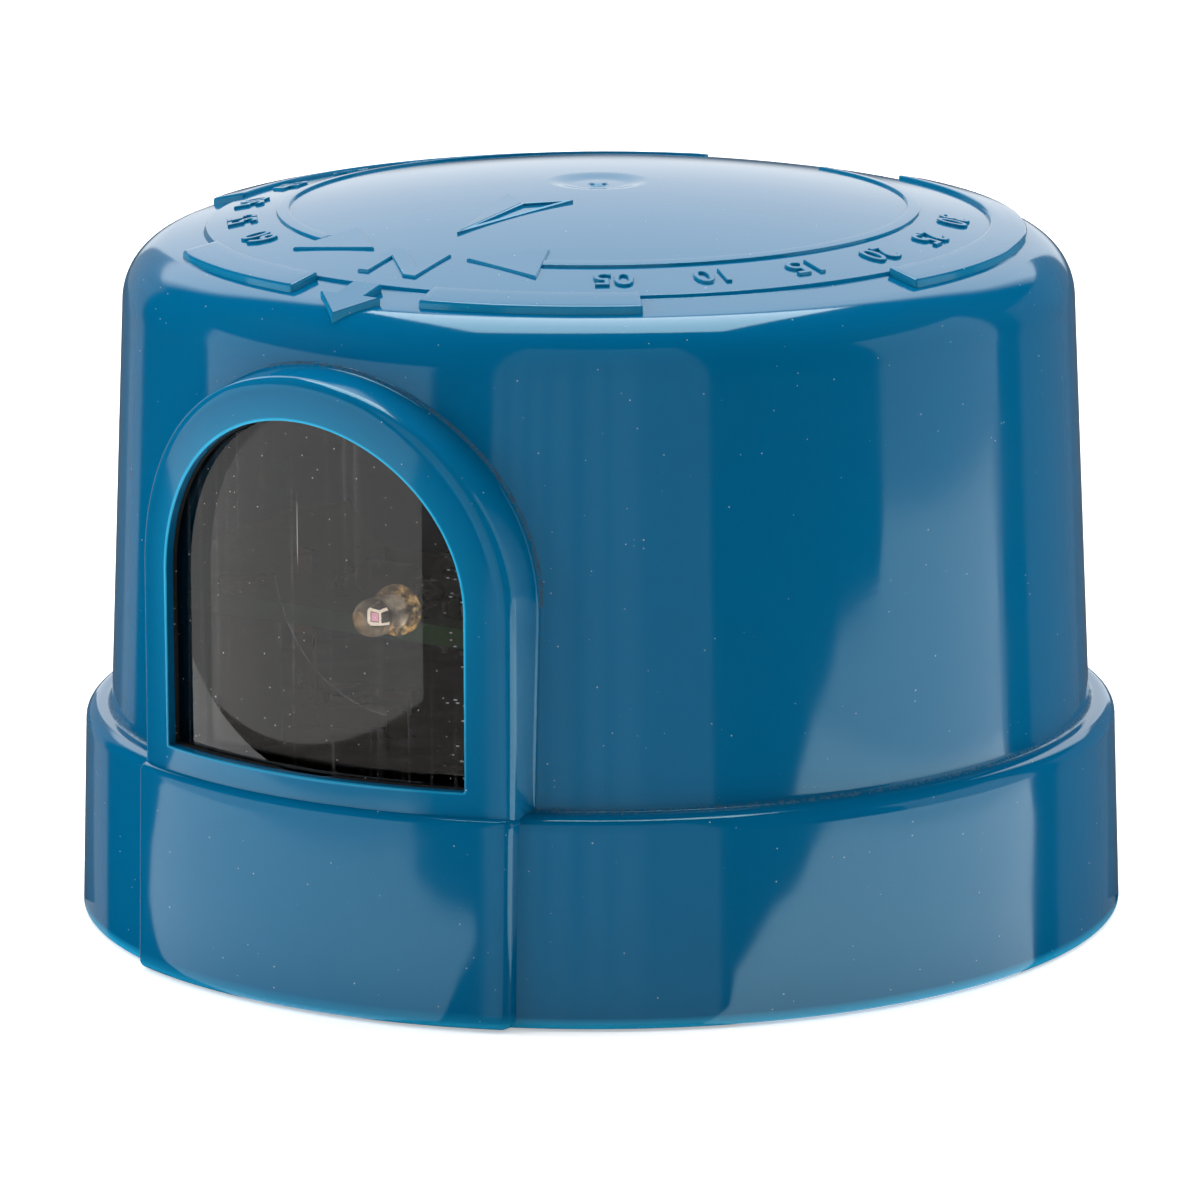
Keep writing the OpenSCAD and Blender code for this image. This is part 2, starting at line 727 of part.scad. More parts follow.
module light_sensor_leads() {
    color("#c8cacc") {
        for (p = sensor_holes) translate([p.x, -sensor_back, sensor_z]) {
            rotate([0, 0, 90])
                formed_lead(fine_lead_d, sensor_back - sensor_hole, sensor_lift + board_t + lead_tail);
            rotate([90, 0, 0]) cylinder(h = sensor_post, d = fine_lead_d);
        }
        sensor_axis() translate([-sensor_pitch / 2, -fine_lead_d / 2, chip_at - fine_lead_d])
            cube([sensor_pitch / 2 + chip_w / 2, fine_lead_d, fine_lead_d]);
    }
}

module light_sensor_chip() {
    color("#4a4550") sensor_axis() translate([-chip_w / 2, -chip_w / 2, chip_at])
        cube([chip_w, chip_w, chip_t]);
}

module relay() {
    color("#26282b") on_board(relay_at) translate([-relay_size.x / 2, -relay_size.y / 2, 0]) cube(relay_size);
}

module relay_pins() {
    color("#c8cacc") pins(relay_holes, power_lead_d);
}

module film_capacitor() {
    color("#2b3038") on_board(film_at) translate([-film_size.x / 2, -film_size.y / 2, 0]) cube(film_size);
}

module film_capacitor_leads() {
    color("#c8cacc") pins(film_holes, power_lead_d);
}

module filter_capacitor() {
    r = filter_d / 2;
    g = filter_groove;
    color("#23262c") on_board(filter_at) rotate_extrude() polygon([
        [0, 0], [r, 0], [r, groove_at - g], [r - g, groove_at], [r, groove_at + g],
        [r, filter_h - g], [r - g, filter_h], [0, filter_h]]);
}

module filter_capacitor_leads() {
    color("#c8cacc") pins(filter_holes, power_lead_d);
}

module surge_arrester() {
    color("#2a3a55") difference() {
        on_board(arrester_at, arrester_lift + arrester_d / 2) rotate([90, 0, 0])
            cylinder(h = arrester_t, d = arrester_d, center = true);
        surge_arrester_leads();
    }
}

module surge_arrester_leads() {
    color("#c8cacc") pins(arrester_holes, power_lead_d, arrester_lift + arrester_d / 2);
}

module dropper_resistor() {
    color("#6d6a63") on_board(dropper_at) axial_body(dropper_d, dropper_len, dropper_lift + dropper_d / 2);
}

module dropper_resistor_leads() {
    color("#c8cacc") on_board(dropper_at)
        axial_leads(power_lead_d, dropper_len, dropper_pitch, dropper_lift + dropper_d / 2);
}

module rectifier_diodes() {
    color("#1c1c1e") for (p = diode_at) on_board(p) axial_body(diode_d, diode_len, diode_d / 2);
}

module rectifier_diode_leads() {
    color("#c8cacc") for (p = diode_at) on_board(p)
        axial_leads(power_lead_d, diode_len, small_pitch, diode_d / 2);
}

module zener_diode() {
    color("#a4552c") on_board(zener_at) axial_body(small_d, small_len, small_d / 2);
}

module zener_diode_leads() {
    color("#c8cacc") on_board(zener_at) axial_leads(fine_lead_d, small_len, small_pitch, small_d / 2);
}

module bias_resistors() {
    color("#b99a6b") for (p = bias_at) on_board(p) axial_body(small_d, small_len, small_d / 2);
}

module bias_resistor_leads() {
    color("#c8cacc") for (p = bias_at) on_board(p)
        axial_leads(fine_lead_d, small_len, small_pitch, small_d / 2);
}

module switching_transistor() {
    color("#1c1c1e") on_board(transistor_at, transistor_lift) difference() {
        cylinder(h = transistor_h, d = transistor_d);
        translate([-transistor_d, -transistor_d - transistor_flat, -over])
            cube([2 * transistor_d, transistor_d, transistor_h + 2 * over]);
    }
}

module switching_transistor_leads() {
    color("#c8cacc") pins(transistor_holes, fine_lead_d, transistor_lift);
}

// Cones of solder under the board, each around its lead
module solder(places, d) {
    for (p = places) translate([p.x, p.y, board_bottom - solder_h]) difference() {
        cylinder(h = solder_h, d1 = d + solder_w / 2, d2 = d + 2 * solder_w);
        translate([0, 0, -over]) cylinder(h = solder_h + 2 * over, d = d);
    }
}

module solder_joints() {
    tail_d = norm([blade_t, tail_w]);
    color("#b4b8bc") {
        solder(fine_holes, fine_lead_d);
        solder(power_holes, power_lead_d);
        for (a = tail_angles) rotate([0, 0, a]) translate([tail_at, 0, board_bottom - solder_h])
            difference() {
                cylinder(h = solder_h, d1 = tail_d + solder_w / 2, d2 = tail_d + 2 * solder_w);
                translate([-blade_t / 2, -tail_w / 2, -over]) cube([blade_t, tail_w, solder_h + 2 * over]);
            }
    }
}

cover();
window_pane();
window_seal();
base();
gasket();
line_blade();
load_blade();
neutral_blade();
blade_rivets();
circuit_board();
light_sensor();
light_sensor_leads();
light_sensor_chip();
relay();
relay_pins();
film_capacitor();
film_capacitor_leads();
filter_capacitor();
filter_capacitor_leads();
surge_arrester();
surge_arrester_leads();
dropper_resistor();
dropper_resistor_leads();
rectifier_diodes();
rectifier_diode_leads();
zener_diode();
zener_diode_leads();
bias_resistors();
bias_resistor_leads();
switching_transistor();
switching_transistor_leads();
solder_joints();
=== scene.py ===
"""Looks of the photocell switch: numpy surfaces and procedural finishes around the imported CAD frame."""

import logging
import math
from collections.abc import Callable
from dataclasses import dataclass, field
from enum import Enum

import bmesh
import bpy
import numpy as np
from mathutils import Matrix, Vector


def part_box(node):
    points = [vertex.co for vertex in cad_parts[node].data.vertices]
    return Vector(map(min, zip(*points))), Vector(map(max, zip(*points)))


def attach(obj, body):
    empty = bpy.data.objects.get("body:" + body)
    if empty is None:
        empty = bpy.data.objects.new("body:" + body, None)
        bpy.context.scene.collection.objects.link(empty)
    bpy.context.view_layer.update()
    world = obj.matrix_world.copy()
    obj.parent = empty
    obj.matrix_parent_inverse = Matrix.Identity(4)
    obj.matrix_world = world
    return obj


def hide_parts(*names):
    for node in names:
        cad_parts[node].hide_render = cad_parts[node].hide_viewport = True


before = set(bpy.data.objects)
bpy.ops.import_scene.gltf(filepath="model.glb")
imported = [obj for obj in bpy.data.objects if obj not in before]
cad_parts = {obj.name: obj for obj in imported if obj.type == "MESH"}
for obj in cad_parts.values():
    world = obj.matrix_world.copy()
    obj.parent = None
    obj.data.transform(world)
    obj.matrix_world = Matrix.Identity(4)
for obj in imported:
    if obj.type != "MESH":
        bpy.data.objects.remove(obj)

MM = 0.001
BODY = "root"
SMOOTH_BELOW = math.radians(32)
EASE_ABOVE = math.radians(40)
WELD_MM = 0.0005
# Point attribute that paints light on the cover: glow above zero, crease shade below zero. The sheets take
# their brightness from it.
TONE = "edge_tone"
SHADER = "Principled BSDF"
WHITE = "#FFFFFF"
DUST = "#C9CFD2"
MEASURES = ("DISTANCE", "LENGTH", "DOT_PRODUCT")

Array = np.ndarray
Colour = tuple[float, float, float, float]
Place = tuple[float, float, float]
Tree = bpy.types.NodeTree
Socket = bpy.types.NodeSocket
Thing = bpy.types.Object
Paint = bpy.types.Material
log = logging.getLogger("photocell")


def linear(hex_colour: str) -> Colour:
    """Turns an sRGB hex value into the linear colour that a shader socket takes.

    Args:
        hex_colour: colour as #RRGGBB.

    Returns:
        Red, green, blue and an alpha of one.
    """
    srgb = np.array([int(hex_colour[i:i + 2], 16) for i in (1, 3, 5)]) / 255
    rgb = np.where(srgb <= 0.04045, srgb / 12.92, ((srgb + 0.055) / 1.055) ** 2.4)
    return (*rgb.tolist(), 1.0)


def add(tree: Tree, kind: str, settings: dict | None = None, links: dict | None = None) -> bpy.types.Node:
    """Adds a node, gives it its settings and links its inputs.

    Args:
        tree: node tree that takes the node.
        kind: the node's type without the words ShaderNode.
        settings: property or input names, or input numbers, with their values.
        links: input names or numbers with the output sockets that feed them.

    Returns:
        The new node.
    """
    node = tree.nodes.new("ShaderNode" + kind)
    for key, value in (settings or {}).items():
        if isinstance(key, str) and hasattr(node, key):
            setattr(node, key, value)
        else:
            node.inputs[key].default_value = value
    for key, socket in (links or {}).items():
        tree.links.new(socket, node.inputs[key])
    return node


def maths(tree: Tree, operation: str, *values: Socket | float) -> Socket:
    """Works on numbers: those that are known are set on the node, and sockets are linked to it.

    Args:
        tree: node tree that takes the node.
        operation: what is worked out.
        values: what goes into the inputs, in order.

    Returns:
        The result.
    """
    numbers = {i: value for i, value in enumerate(values) if isinstance(value, float)}
    sockets = {i: value for i, value in enumerate(values) if i not in numbers}
    return add(tree, "Math", {"operation": operation, **numbers}, sockets).outputs[0]


def vectors(tree: Tree, operation: str, vector: Socket, other: Place = (0.0, 0.0, 0.0)) -> Socket:
    """Works on a vector and a fixed one, to a vector or to a measure."""
    node = add(tree, "VectorMath", {"operation": operation, 1: other}, {0: vector})
    return node.outputs["Value" if operation in MEASURES else "Vector"]


def ramp(tree: Tree, value: Socket, start: float, stop: float, low: float = 0.0, high: float = 1.0) -> Socket:
    """Carries a value from the span of start to stop over to low to high, and holds it at both ends."""
    spans = {"From Min": start, "From Max": stop, "To Min": low, "To Max": high}
    return add(tree, "MapRange", spans, {"Value": value}).outputs[0]


def noise(tree: Tree, place: Socket, scale: float, detail: float) -> Socket:
    """Soft noise of about one cloud per unit of place times scale."""
    return add(tree, "TexNoise", {"Scale": scale, "Detail": detail}, {"Vector": place}).outputs["Fac"]


def stretched(tree: Tree, place: Socket, scale: Place, shift: Place = (0.0, 0.0, 0.0),
              lean: float = 0.0) -> Socket:
    """Coordinates scaled along each axis, leant about Y and then moved."""
    settings = {"Scale": scale, "Location": shift, "Rotation": (0.0, lean, 0.0)}
    return add(tree, "Mapping", settings, {"Vector": place}).outputs[0]


def blend(tree: Tree, share: Socket, under: Socket, over: str) -> Socket:
    """Lays an sRGB hex colour over another colour by a share."""
    return add(tree, "Mix", {"data_type": "RGBA", 7: linear(over)}, {0: share, 6: under}).outputs[2]


def start_material(name: str, values: dict[str, float | Colour]) -> tuple[Paint, Tree, bpy.types.Node]:
    """Starts a material and sets the fixed values of its shader.

    Args:
        name: name of the material.
        values: the shader's input names with their values.

    Returns:
        The material, its node tree and its shader.
    """
    made = bpy.data.materials.new(name)
    made.use_nodes = True
    shader = made.node_tree.nodes[SHADER]
    for key, value in values.items():
        shader.inputs[key].default_value = value
    return made, made.node_tree, shader


def rounded_path(corners: Array, radii: Array, steps: int = 8) -> Array:
    """Rounds the inner corners of an open path with arcs that touch both its sides.

    At a corner with unit directions a and b to its neighbours, the arc's centre lies on their
    bisector, and the arc is the circular interpolation between the two touching points.

    Args:
        corners: path corners, n by 2.
        radii: radius at each of the n - 2 inner corners.
        steps: points on each arc.

    Returns:
        The points of the rounded path, m by 2.
    """
    here = corners[1:-1]
    to_last = corners[:-2] - here
    to_next = corners[2:] - here
    a = to_last / np.linalg.norm(to_last, axis=1, keepdims=True)
    b = to_next / np.linalg.norm(to_next, axis=1, keepdims=True)
    half = np.arccos(np.clip((a * b).sum(axis=1), -1, 1))[:, None] / 2
    bisector = (a + b) / np.linalg.norm(a + b, axis=1, keepdims=True)
    radius = np.asarray(radii, float)[:, None]
    centre = here + bisector * radius / np.sin(half)
    first = here + a * radius / np.tan(half) - centre
    last = here + b * radius / np.tan(half) - centre
    turn = (np.pi - 2 * half)[:, :, None]
    share = np.linspace(0, 1, steps)[None, :, None]
    arcs = np.sin((1 - share) * turn) * first[:, None] + np.sin(share * turn) * last[:, None]
    arcs = arcs / np.sin(turn)
    return np.vstack([corners[:1], (arcs + centre[:, None]).reshape(-1, 2), corners[-1:]])


def arc_points(centre: tuple[float, float], radius: float, start: float, stop: float, steps: int) -> Array:
    """Points of a circle about centre, from one angle to another in degrees."""
    angle = np.radians(np.linspace(start, stop, steps))
    return np.stack([centre[0] + radius * np.cos(angle), centre[1] + radius * np.sin(angle)], axis=1)


def step_at(r: Array, edge: float, width: float) -> Array:
    """A smooth step that is one inside the radius edge and zero outside it."""
    share = np.clip((edge + width / 2 - r) / width, 0, 1)
    return share * share * (3 - 2 * share)


def slab_axis(low: float, high: float, radius: float, flat: int, turn: int = 5) -> tuple[Array, Array]:
    """Places the grid lines across a slab with rounded rims.

    Args:
        low: one end of the slab.
        high: its other end.
        radius: radius of the rounded rims.
        flat: grid lines on the flat between the rims.
        turn: grid lines on each rim.

    Returns:
        The flat position that each line belongs to, and the rim's angle there in radians.
    """
    rim = np.linspace(0, np.pi / 2, turn)
    place = np.concatenate([np.full(turn, low + radius), np.linspace(low + radius, high - radius, flat),
                            np.full(turn, high - radius)])
    return place, np.concatenate([-rim[::-1], np.zeros(flat), rim])


@dataclass
class Shells:
    """Gathers closed shells, in millimetres, that make up one piece."""

    points: list[Array] = field(default_factory=list)
    tone: list[Array] = field(default_factory=list)
    faces: list[list[int]] = field(default_factory=list)
    count: int = 0

    def grid(self, surface: Array, loop_u: bool = False, loop_v: bool = False,
             tone: Array | float = 0.0) -> None:
        """Joins a grid of points into four-sided faces; a looped direction closes on itself.

        Args:
            surface: points, rows by columns by 3.
            loop_u: whether the last row joins the first.
            loop_v: whether the last column joins the first.
            tone: at each point, from 1 for a full painted glow to -1 for full painted shade in a corner.
        """
        rows, columns = surface.shape[:2]
        index = np.arange(rows * columns).reshape(rows, columns) + self.count
        index = np.vstack([index, index[:1]]) if loop_u else index
        index = np.hstack([index, index[:, :1]]) if loop_v else index
        quads = np.stack([index[:-1, :-1], index[1:, :-1], index[1:, 1:], index[:-1, 1:]], axis=-1)
        self.take(surface.reshape(-1, 3), quads.reshape(-1, 4).tolist(), tone)

    def take(self, points: Array, faces: list[list[int]], tone: Array | float = 0.0) -> None:
        """Takes in points with faces that are already numbered from this piece's count.

        Args:
            points: points, n by 3.
            faces: corner numbers of each face.
            tone: tone of each point, or of all.
        """
        self.points.append(points)
        self.tone.append(np.broadcast_to(np.asarray(tone, float).reshape(-1), (len(points),)))
        self.faces.extend(faces)
        self.count += len(points)

    def slab(self, front: Array, back: Array, tone: Array | float = 0.0) -> None:
        """Closes two matching grids into one solid, with strips along their four edges.

        Args:
            front: outer grid of points.
            back: inner grid of the same shape.
            tone: tone at the front's points, which the points behind them share.
        """
        shared = np.broadcast_to(tone, front.shape[:2])
        self.grid(front, tone=shared)
        self.grid(back, tone=shared)
        for edge in (np.s_[0], np.s_[-1], np.s_[:, 0], np.s_[:, -1]):
            self.grid(np.stack([front[edge], back[edge]]), tone=np.stack([shared[edge], shared[edge]]))

    def prism(self, outline: Array, levels: Array, insets: Array, place: Callable[[Array, Array], Array],
              tone: Array | float = 0.0) -> None:
        """Raises a flat outline through levels, each drawn in by its inset, and closes both ends.

        The inset of a corner runs along the sum of its sides' normals, divided by one plus their
        product, which keeps every side parallel to itself.

        Args:
            outline: corners, n by 2, counter-clockwise.
            levels: heights of the rings.
            insets: how far each ring is drawn in.
            place: turns flat points and heights into points in space.
            tone: tone of each ring.
        """
        side = np.roll(outline, -1, axis=0) - outline
        normal = np.stack([-side[:, 1], side[:, 0]], axis=1) / np.linalg.norm(side, axis=1, keepdims=True)
        before = np.roll(normal, 1, axis=0)
        mitre = (normal + before) / (1 + (normal * before).sum(axis=1, keepdims=True))
        flat = outline[None] + mitre[None] * np.asarray(insets)[:, None, None]
        high = np.broadcast_to(np.asarray(levels, float)[:, None], flat.shape[:2])
        start, corners = self.count, len(outline)
        tones = np.broadcast_to(np.reshape(tone, (-1, 1)), high.shape)
        self.grid(place(flat, high), loop_v=True, tone=tones)
        last = start + (len(levels) - 1) * corners
        self.faces.append(list(range(start, start + corners))[::-1])
        self.faces.append(list(range(last, last + corners)))

    def piece(self, name: str) -> Thing:
        """Makes the mesh object: welded, faces outward, smooth up to the angle of a real edge.

        Args:
            name: name of the object and its mesh.

        Returns:
            The object, at the origin.
        """
        mesh = bpy.data.meshes.new(name)
        mesh.from_pydata((np.vstack(self.points) * MM).tolist(), [], self.faces)
        toned = mesh.attributes.new(TONE, "FLOAT", "POINT")
        toned.data.foreach_set("value", np.concatenate(self.tone).astype(np.float32))
        weld(mesh, outward=True)
        return place_in_scene(name, mesh)


def shade(mesh: bpy.types.Mesh) -> None:
    """Shades a mesh smooth but for the edges that stay crisp.

    Args:
        mesh: mesh to shade.
    """
    mesh.polygons.foreach_set("use_smooth", np.ones(len(mesh.polygons), bool))
    mesh.set_sharp_from_angle(angle=SMOOTH_BELOW)
    mesh.update()


def weld(mesh: bpy.types.Mesh, outward: bool) -> None:
    """Merges coincident points, can turn the faces outward, and marks the edges that stay crisp.

    Args:
        mesh: mesh to finish.
        outward: whether the faces' directions are worked out again.
    """
    work = bmesh.new()
    work.from_mesh(mesh)
    bmesh.ops.remove_doubles(work, verts=work.verts, dist=WELD_MM * MM)
    if outward:
        bmesh.ops.recalc_face_normals(work, faces=work.faces)
    work.to_mesh(mesh)
    work.free()
    shade(mesh)


def place_in_scene(name: str, mesh: bpy.types.Mesh) -> Thing:
    """Links a mesh to the scene as an object at the origin.

    Args:
        name: name of the object.
        mesh: its mesh.

    Returns:
        The object.
    """
    thing = bpy.data.objects.new(name, mesh)
    bpy.context.scene.collection.objects.link(thing)
    return thing


def cut_out(body: Thing, tool: Thing) -> None:
    """Takes the tool's solid out of the body's mesh and removes the tool.

    Args:
        body: object whose mesh is cut.
        tool: closed object that is taken away.
    """
    cut = body.modifiers.new("cut", "BOOLEAN")
    cut.operation, cut.solver, cut.object = "DIFFERENCE", "EXACT", tool
    graph = bpy.context.evaluated_depsgraph_get()
    made = bpy.data.meshes.new_from_object(body.evaluated_get(graph))
    body.modifiers.remove(cut)
    old, body.data = body.data, made
    made.name = body.name
    bpy.data.meshes.remove(old)
    bpy.data.objects.remove(tool)


def node_copy(node: str, bevel_mm: float = 0.0) -> Thing:
    """Copies a CAD node's mesh, merged and smooth shaded, with its edges eased where asked.

    Args:
        node: name of the CAD node that the copy stands for.
        bevel_mm: width of the eased edges, or 0 for none.

    Returns:
        The copy, which rides with the body and replaces the node.
    """
    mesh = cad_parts[node].data.copy()
    mesh.materials.clear()
    if "custom_normal" in mesh.attributes:
        mesh.attributes.remove(mesh.attributes["custom_normal"])
    weld(mesh, outward=False)
    piece = place_in_scene(node + "_finished", mesh)
    if bevel_mm:
        ease = piece.modifiers.new("eased_edges", "BEVEL")
        ease.width, ease.segments, ease.angle_limit = bevel_mm * MM, 2, EASE_ABOVE
        ease.limit_method = "ANGLE"
        ease.use_clamp_overlap = True
    return piece


@dataclass(frozen=True)
class Finish:
    """A procedural finish: two tones in a soft grain, a spread of gloss, a fine bump and settled dust.

    Attributes:
        name: what the material really is.
        slot: name of a material slot; not used.
        tone: main colour, sRGB hex.
        shade: second colour, reached where the grain is strongest.
        grain_mm: width of one cloud of the grain.
        rough: mean roughness.
        spread: how far the roughness goes up and down with the grain.
        bump_mm: height of the surface's texture.
        bump_grain_mm: width of that texture's grain.
        bump_rise_mm: height of that grain where it lies in level lines, or 0 for a round grain.
        metallic: 1 for a metal.
        ior: index of refraction, for all but metals.
        dust: share of the dust cells that hold a speck.
        speck_mm: width of the largest speck.
        speck_room: width of a dust cell, as a multiple of that speck.
        clear: share of light that goes through.
        tint: colour of its reflection where it is seen straight on.
        glow: brightness of a painted glow that it gives off, though it is no lamp.
    """

    name: str
    slot: str
    tone: str
    shade: str
    grain_mm: float
    rough: float
    spread: float = 0.06
    bump_mm: float = 0.0
    bump_grain_mm: float = 0.5
    bump_rise_mm: float = 0.0
    metallic: float = 0.0
    ior: float = 1.5
    dust: float = 0.0
    speck_mm: float = 0.2
    speck_room: float = 3.5
    clear: float = 0.0
    tint: str = WHITE
    glow: float = 0.0

    def build(self) -> Paint:
        """Builds the material once and gives the same one from then on.

        Returns:
            The material.
        """
        made = bpy.data.materials.get(self.name)
        if made:
            return made
        # Emission paints a glow in the finish's own colour wherever glow is set.
        values = {"Metallic": self.metallic, "Transmission Weight": self.clear,
                  "Specular Tint": linear(self.tint), "Emission Color": linear(self.tone),
                  "Emission Strength": self.glow}
        if not self.metallic:
            values["IOR"] = self.ior
        made, tree, shader = start_material(self.name, values)
        place = add(tree, "TexCoord").outputs["Object"]
        grain = noise(tree, place, 1 / (self.grain_mm * MM), 3.0)
        tones = {"data_type": "RGBA", 6: linear(self.tone), 7: linear(self.shade)}
        colour = add(tree, "Mix", tones, {0: grain}).outputs[2]
        rough = ramp(tree, grain, 0.3, 0.7, self.rough - self.spread, self.rough + self.spread)
        colour, rough = self.marks(tree, place, colour, rough)
        if self.dust:
            speck = self.specks(tree, place)
            colour = blend(tree, speck, colour, DUST)
            rough = maths(tree, "MAXIMUM", rough, speck)
            if self.clear:
                through = ramp(tree, speck, 0.0, 1.0, self.clear, 0.0)
                tree.links.new(through, shader.inputs["Transmission Weight"])
        tree.links.new(colour, shader.inputs["Base Color"])
        tree.links.new(rough, shader.inputs["Roughness"])
        if self.bump_mm:
            wide = 1 / (self.bump_grain_mm * MM)
            tall = 1 / ((self.bump_rise_mm or self.bump_grain_mm) * MM)
            relief = noise(tree, stretched(tree, place, (wide, wide, tall)), 1.0, 2.0)
            bump = add(tree, "Bump", {"Distance": self.bump_mm * MM, "Strength": 1.0}, {"Height": relief})
            tree.links.new(bump.outputs["Normal"], shader.inputs["Normal"])
        return made

    def marks(self, tree: Tree, place: Socket, colour: Socket, rough: Socket) -> tuple[Socket, Socket]:
        """Adds what only this finish has; a plain finish has nothing more."""
        return colour, rough

    def specks(self, tree: Tree, place: Socket) -> Socket:
        """Draws dust as one round speck in some cells of a random cell pattern.

        Args:
            tree: the material's node tree.
            place: Object coordinates.

        Returns:
            A socket that is near one on a speck and zero elsewhere.
        """
        cell_mm = self.speck_mm * self.speck_room
        cells = add(tree, "TexVoronoi", {"Scale": 1 / (cell_mm * MM)}, {"Vector": place})
        chance = add(tree, "SeparateColor", links={0: cells.outputs["Color"]}).outputs[0]
        size = ramp(tree, chance, 1 - self.dust, 1.0, 0.001, self.speck_mm / 2 / cell_mm)
        away = maths(tree, "DIVIDE", cells.outputs["Distance"], size)
        return ramp(tree, away, 1.0, 0.5, 0.0, 0.75)


@dataclass(frozen=True)
class PaintedLightPlastic(Finish):
    """Coloured plastic with a paler edge colour painted on as glow where it is thin, and painted shade in its
    corners.
    """

    # Painted glow of light through thin edges, then the colour and grain of the painted shade in creases.
    edge: str = "#2BB6E4"
    painted_shade: str = "#34424E"
    painted_shade_grain_mm: float = 0.35

    def marks(self, tree: Tree, place: Socket, colour: Socket, rough: Socket) -> tuple[Socket, Socket]:
        """Mixes in the edge colour as painted glow above zero of the mesh's tone, and broken painted shade
        below zero.

        Args:
            tree: the material's node tree.
            place: Object coordinates.
            colour: colour so far.
            rough: roughness so far.

        Returns:
            The new colour and roughness.
        """
        # Painted glow above zero of the tone; painted shade below zero, broken by noise.
        tone = add(tree, "Attribute", {"attribute_name": TONE}).outputs["Fac"]
        pale = blend(tree, tone, colour, self.edge)
        broken = ramp(tree, noise(tree, place, 1 / (self.painted_shade_grain_mm * MM), 3.0), 0.3, 0.65)
        painted_shade_share = maths(tree, "MULTIPLY", broken, ramp(tree, tone, 0.0, -1.0))
        return blend(tree, painted_shade_share, pale, self.painted_shade), maths(tree, "MAXIMUM", rough, painted_shade_share)


@dataclass(frozen=True)
class ScratchedAcrylic(Finish):
    """Smoked acrylic with fine upright wiping streaks, a curved scratch, a hair and lint at one edge."""

    streak_mm: tuple[float, float] = (0.6, 60.0)
    streak_pale: float = 0.1
    arc_at_mm: Place = (9.05, 0.0, 35.49)
    arc_r_mm: float = 11.94
    arc_w_mm: float = 0.08
    arc_half: float = math.radians(36)
    arc_pale: float = 0.19
    hair_at_mm: Place = (-0.55, 0.0, 37.1)
    hair_half_mm: tuple[float, float] = (0.06, 3.4)
    hair_pale: float = 0.6
    lint_mm: Place = (1.1, 1.1, 0.4)
    lint_x_mm: tuple[float, float] = (10.8, 13.6)
    lint_lean: float = 0.35
    lint_pale: float = 0.7
    outer_r_mm: float = 40.0

    def specks(self, tree: Tree, place: Socket) -> Socket:
        """Adds streaks, which are noise stretched upward, and the other marks to the dust on the outer face.

        Args:
            tree: the material's node tree.
            place: Object coordinates.

        Returns:
            A socket that says how pale and dull the face is.
        """
        fine, long = (1 / (size * MM) for size in self.streak_mm)
        streak = noise(tree, stretched(tree, place, (fine, fine, long)), 1.0, 1.0)
        wiped = ramp(tree, streak, 0.62, 0.8, 0.0, self.streak_pale)
        marked = super().specks(tree, place)
        for layer in (wiped, self.scratch(tree, place), self.hair(tree, place), self.lint(tree, place)):
            marked = maths(tree, "MAXIMUM", marked, layer)
        out = vectors(tree, "LENGTH", vectors(tree, "MULTIPLY", place, (1.0, 1.0, 0.0)))
        return maths(tree, "MULTIPLY", marked, maths(tree, "GREATER_THAN", out, self.outer_r_mm * MM))

    def scratch(self, tree: Tree, place: Socket) -> Socket:
        """Draws the scratch where the distance from its centre meets its radius, on the lower left alone.

        Args:
            tree: the material's node tree.
            place: Object coordinates.

        Returns:
            How pale the scratch is.
        """
        centre = tuple(v * MM for v in self.arc_at_mm)
        away = vectors(tree, "DISTANCE", vectors(tree, "MULTIPLY", place, (1.0, 0.0, 1.0)), centre)
        ring = maths(tree, "COMPARE", away, self.arc_r_mm * MM, self.arc_w_mm / 2 * MM)
        lower_left = (-math.sqrt(0.5), 0.0, -math.sqrt(0.5))
        reach = sum(a * b for a, b in zip(centre, lower_left)) + self.arc_r_mm * MM * math.cos(self.arc_half)
        part = maths(tree, "GREATER_THAN", vectors(tree, "DOT_PRODUCT", place, lower_left), reach)
        return maths(tree, "MULTIPLY", maths(tree, "MULTIPLY", ring, part), self.arc_pale)

    def hair(self, tree: Tree, place: Socket) -> Socket:
        """Draws the hair as a slim upright ellipse.

        Args:
            tree: the material's node tree.
            place: Object coordinates.

        Returns:
            How pale the hair is.
        """
        across, up = (1 / (half * MM) for half in self.hair_half_mm)
        slim = (across, 0.0, up)
        shift = tuple(-at * MM * scale for at, scale in zip(self.hair_at_mm, slim))
        size = vectors(tree, "LENGTH", stretched(tree, place, slim, shift))
        return ramp(tree, size, 1.0, 0.4, 0.0, self.hair_pale)

    def lint(self, tree: Tree, place: Socket) -> Socket:
        """Draws lint as leaning slim cells that thicken towards one edge.

        Args:
            tree: the material's node tree.
            place: Object coordinates.

        Returns:
            How pale the lint is.
        """
        lay = stretched(tree, place, tuple(1 / (size * MM) for size in self.lint_mm), lean=self.lint_lean)
        cells = add(tree, "TexVoronoi", {"Scale": 1.0}, {"Vector": lay}).outputs["Distance"]
        across = add(tree, "SeparateXYZ", links={0: place}).outputs[0]
        edge = ramp(tree, across, self.lint_x_mm[0] * MM, self.lint_x_mm[1] * MM)
        return maths(tree, "MULTIPLY", ramp(tree, cells, 0.2, 0.1, 0.0, self.lint_pale), edge)


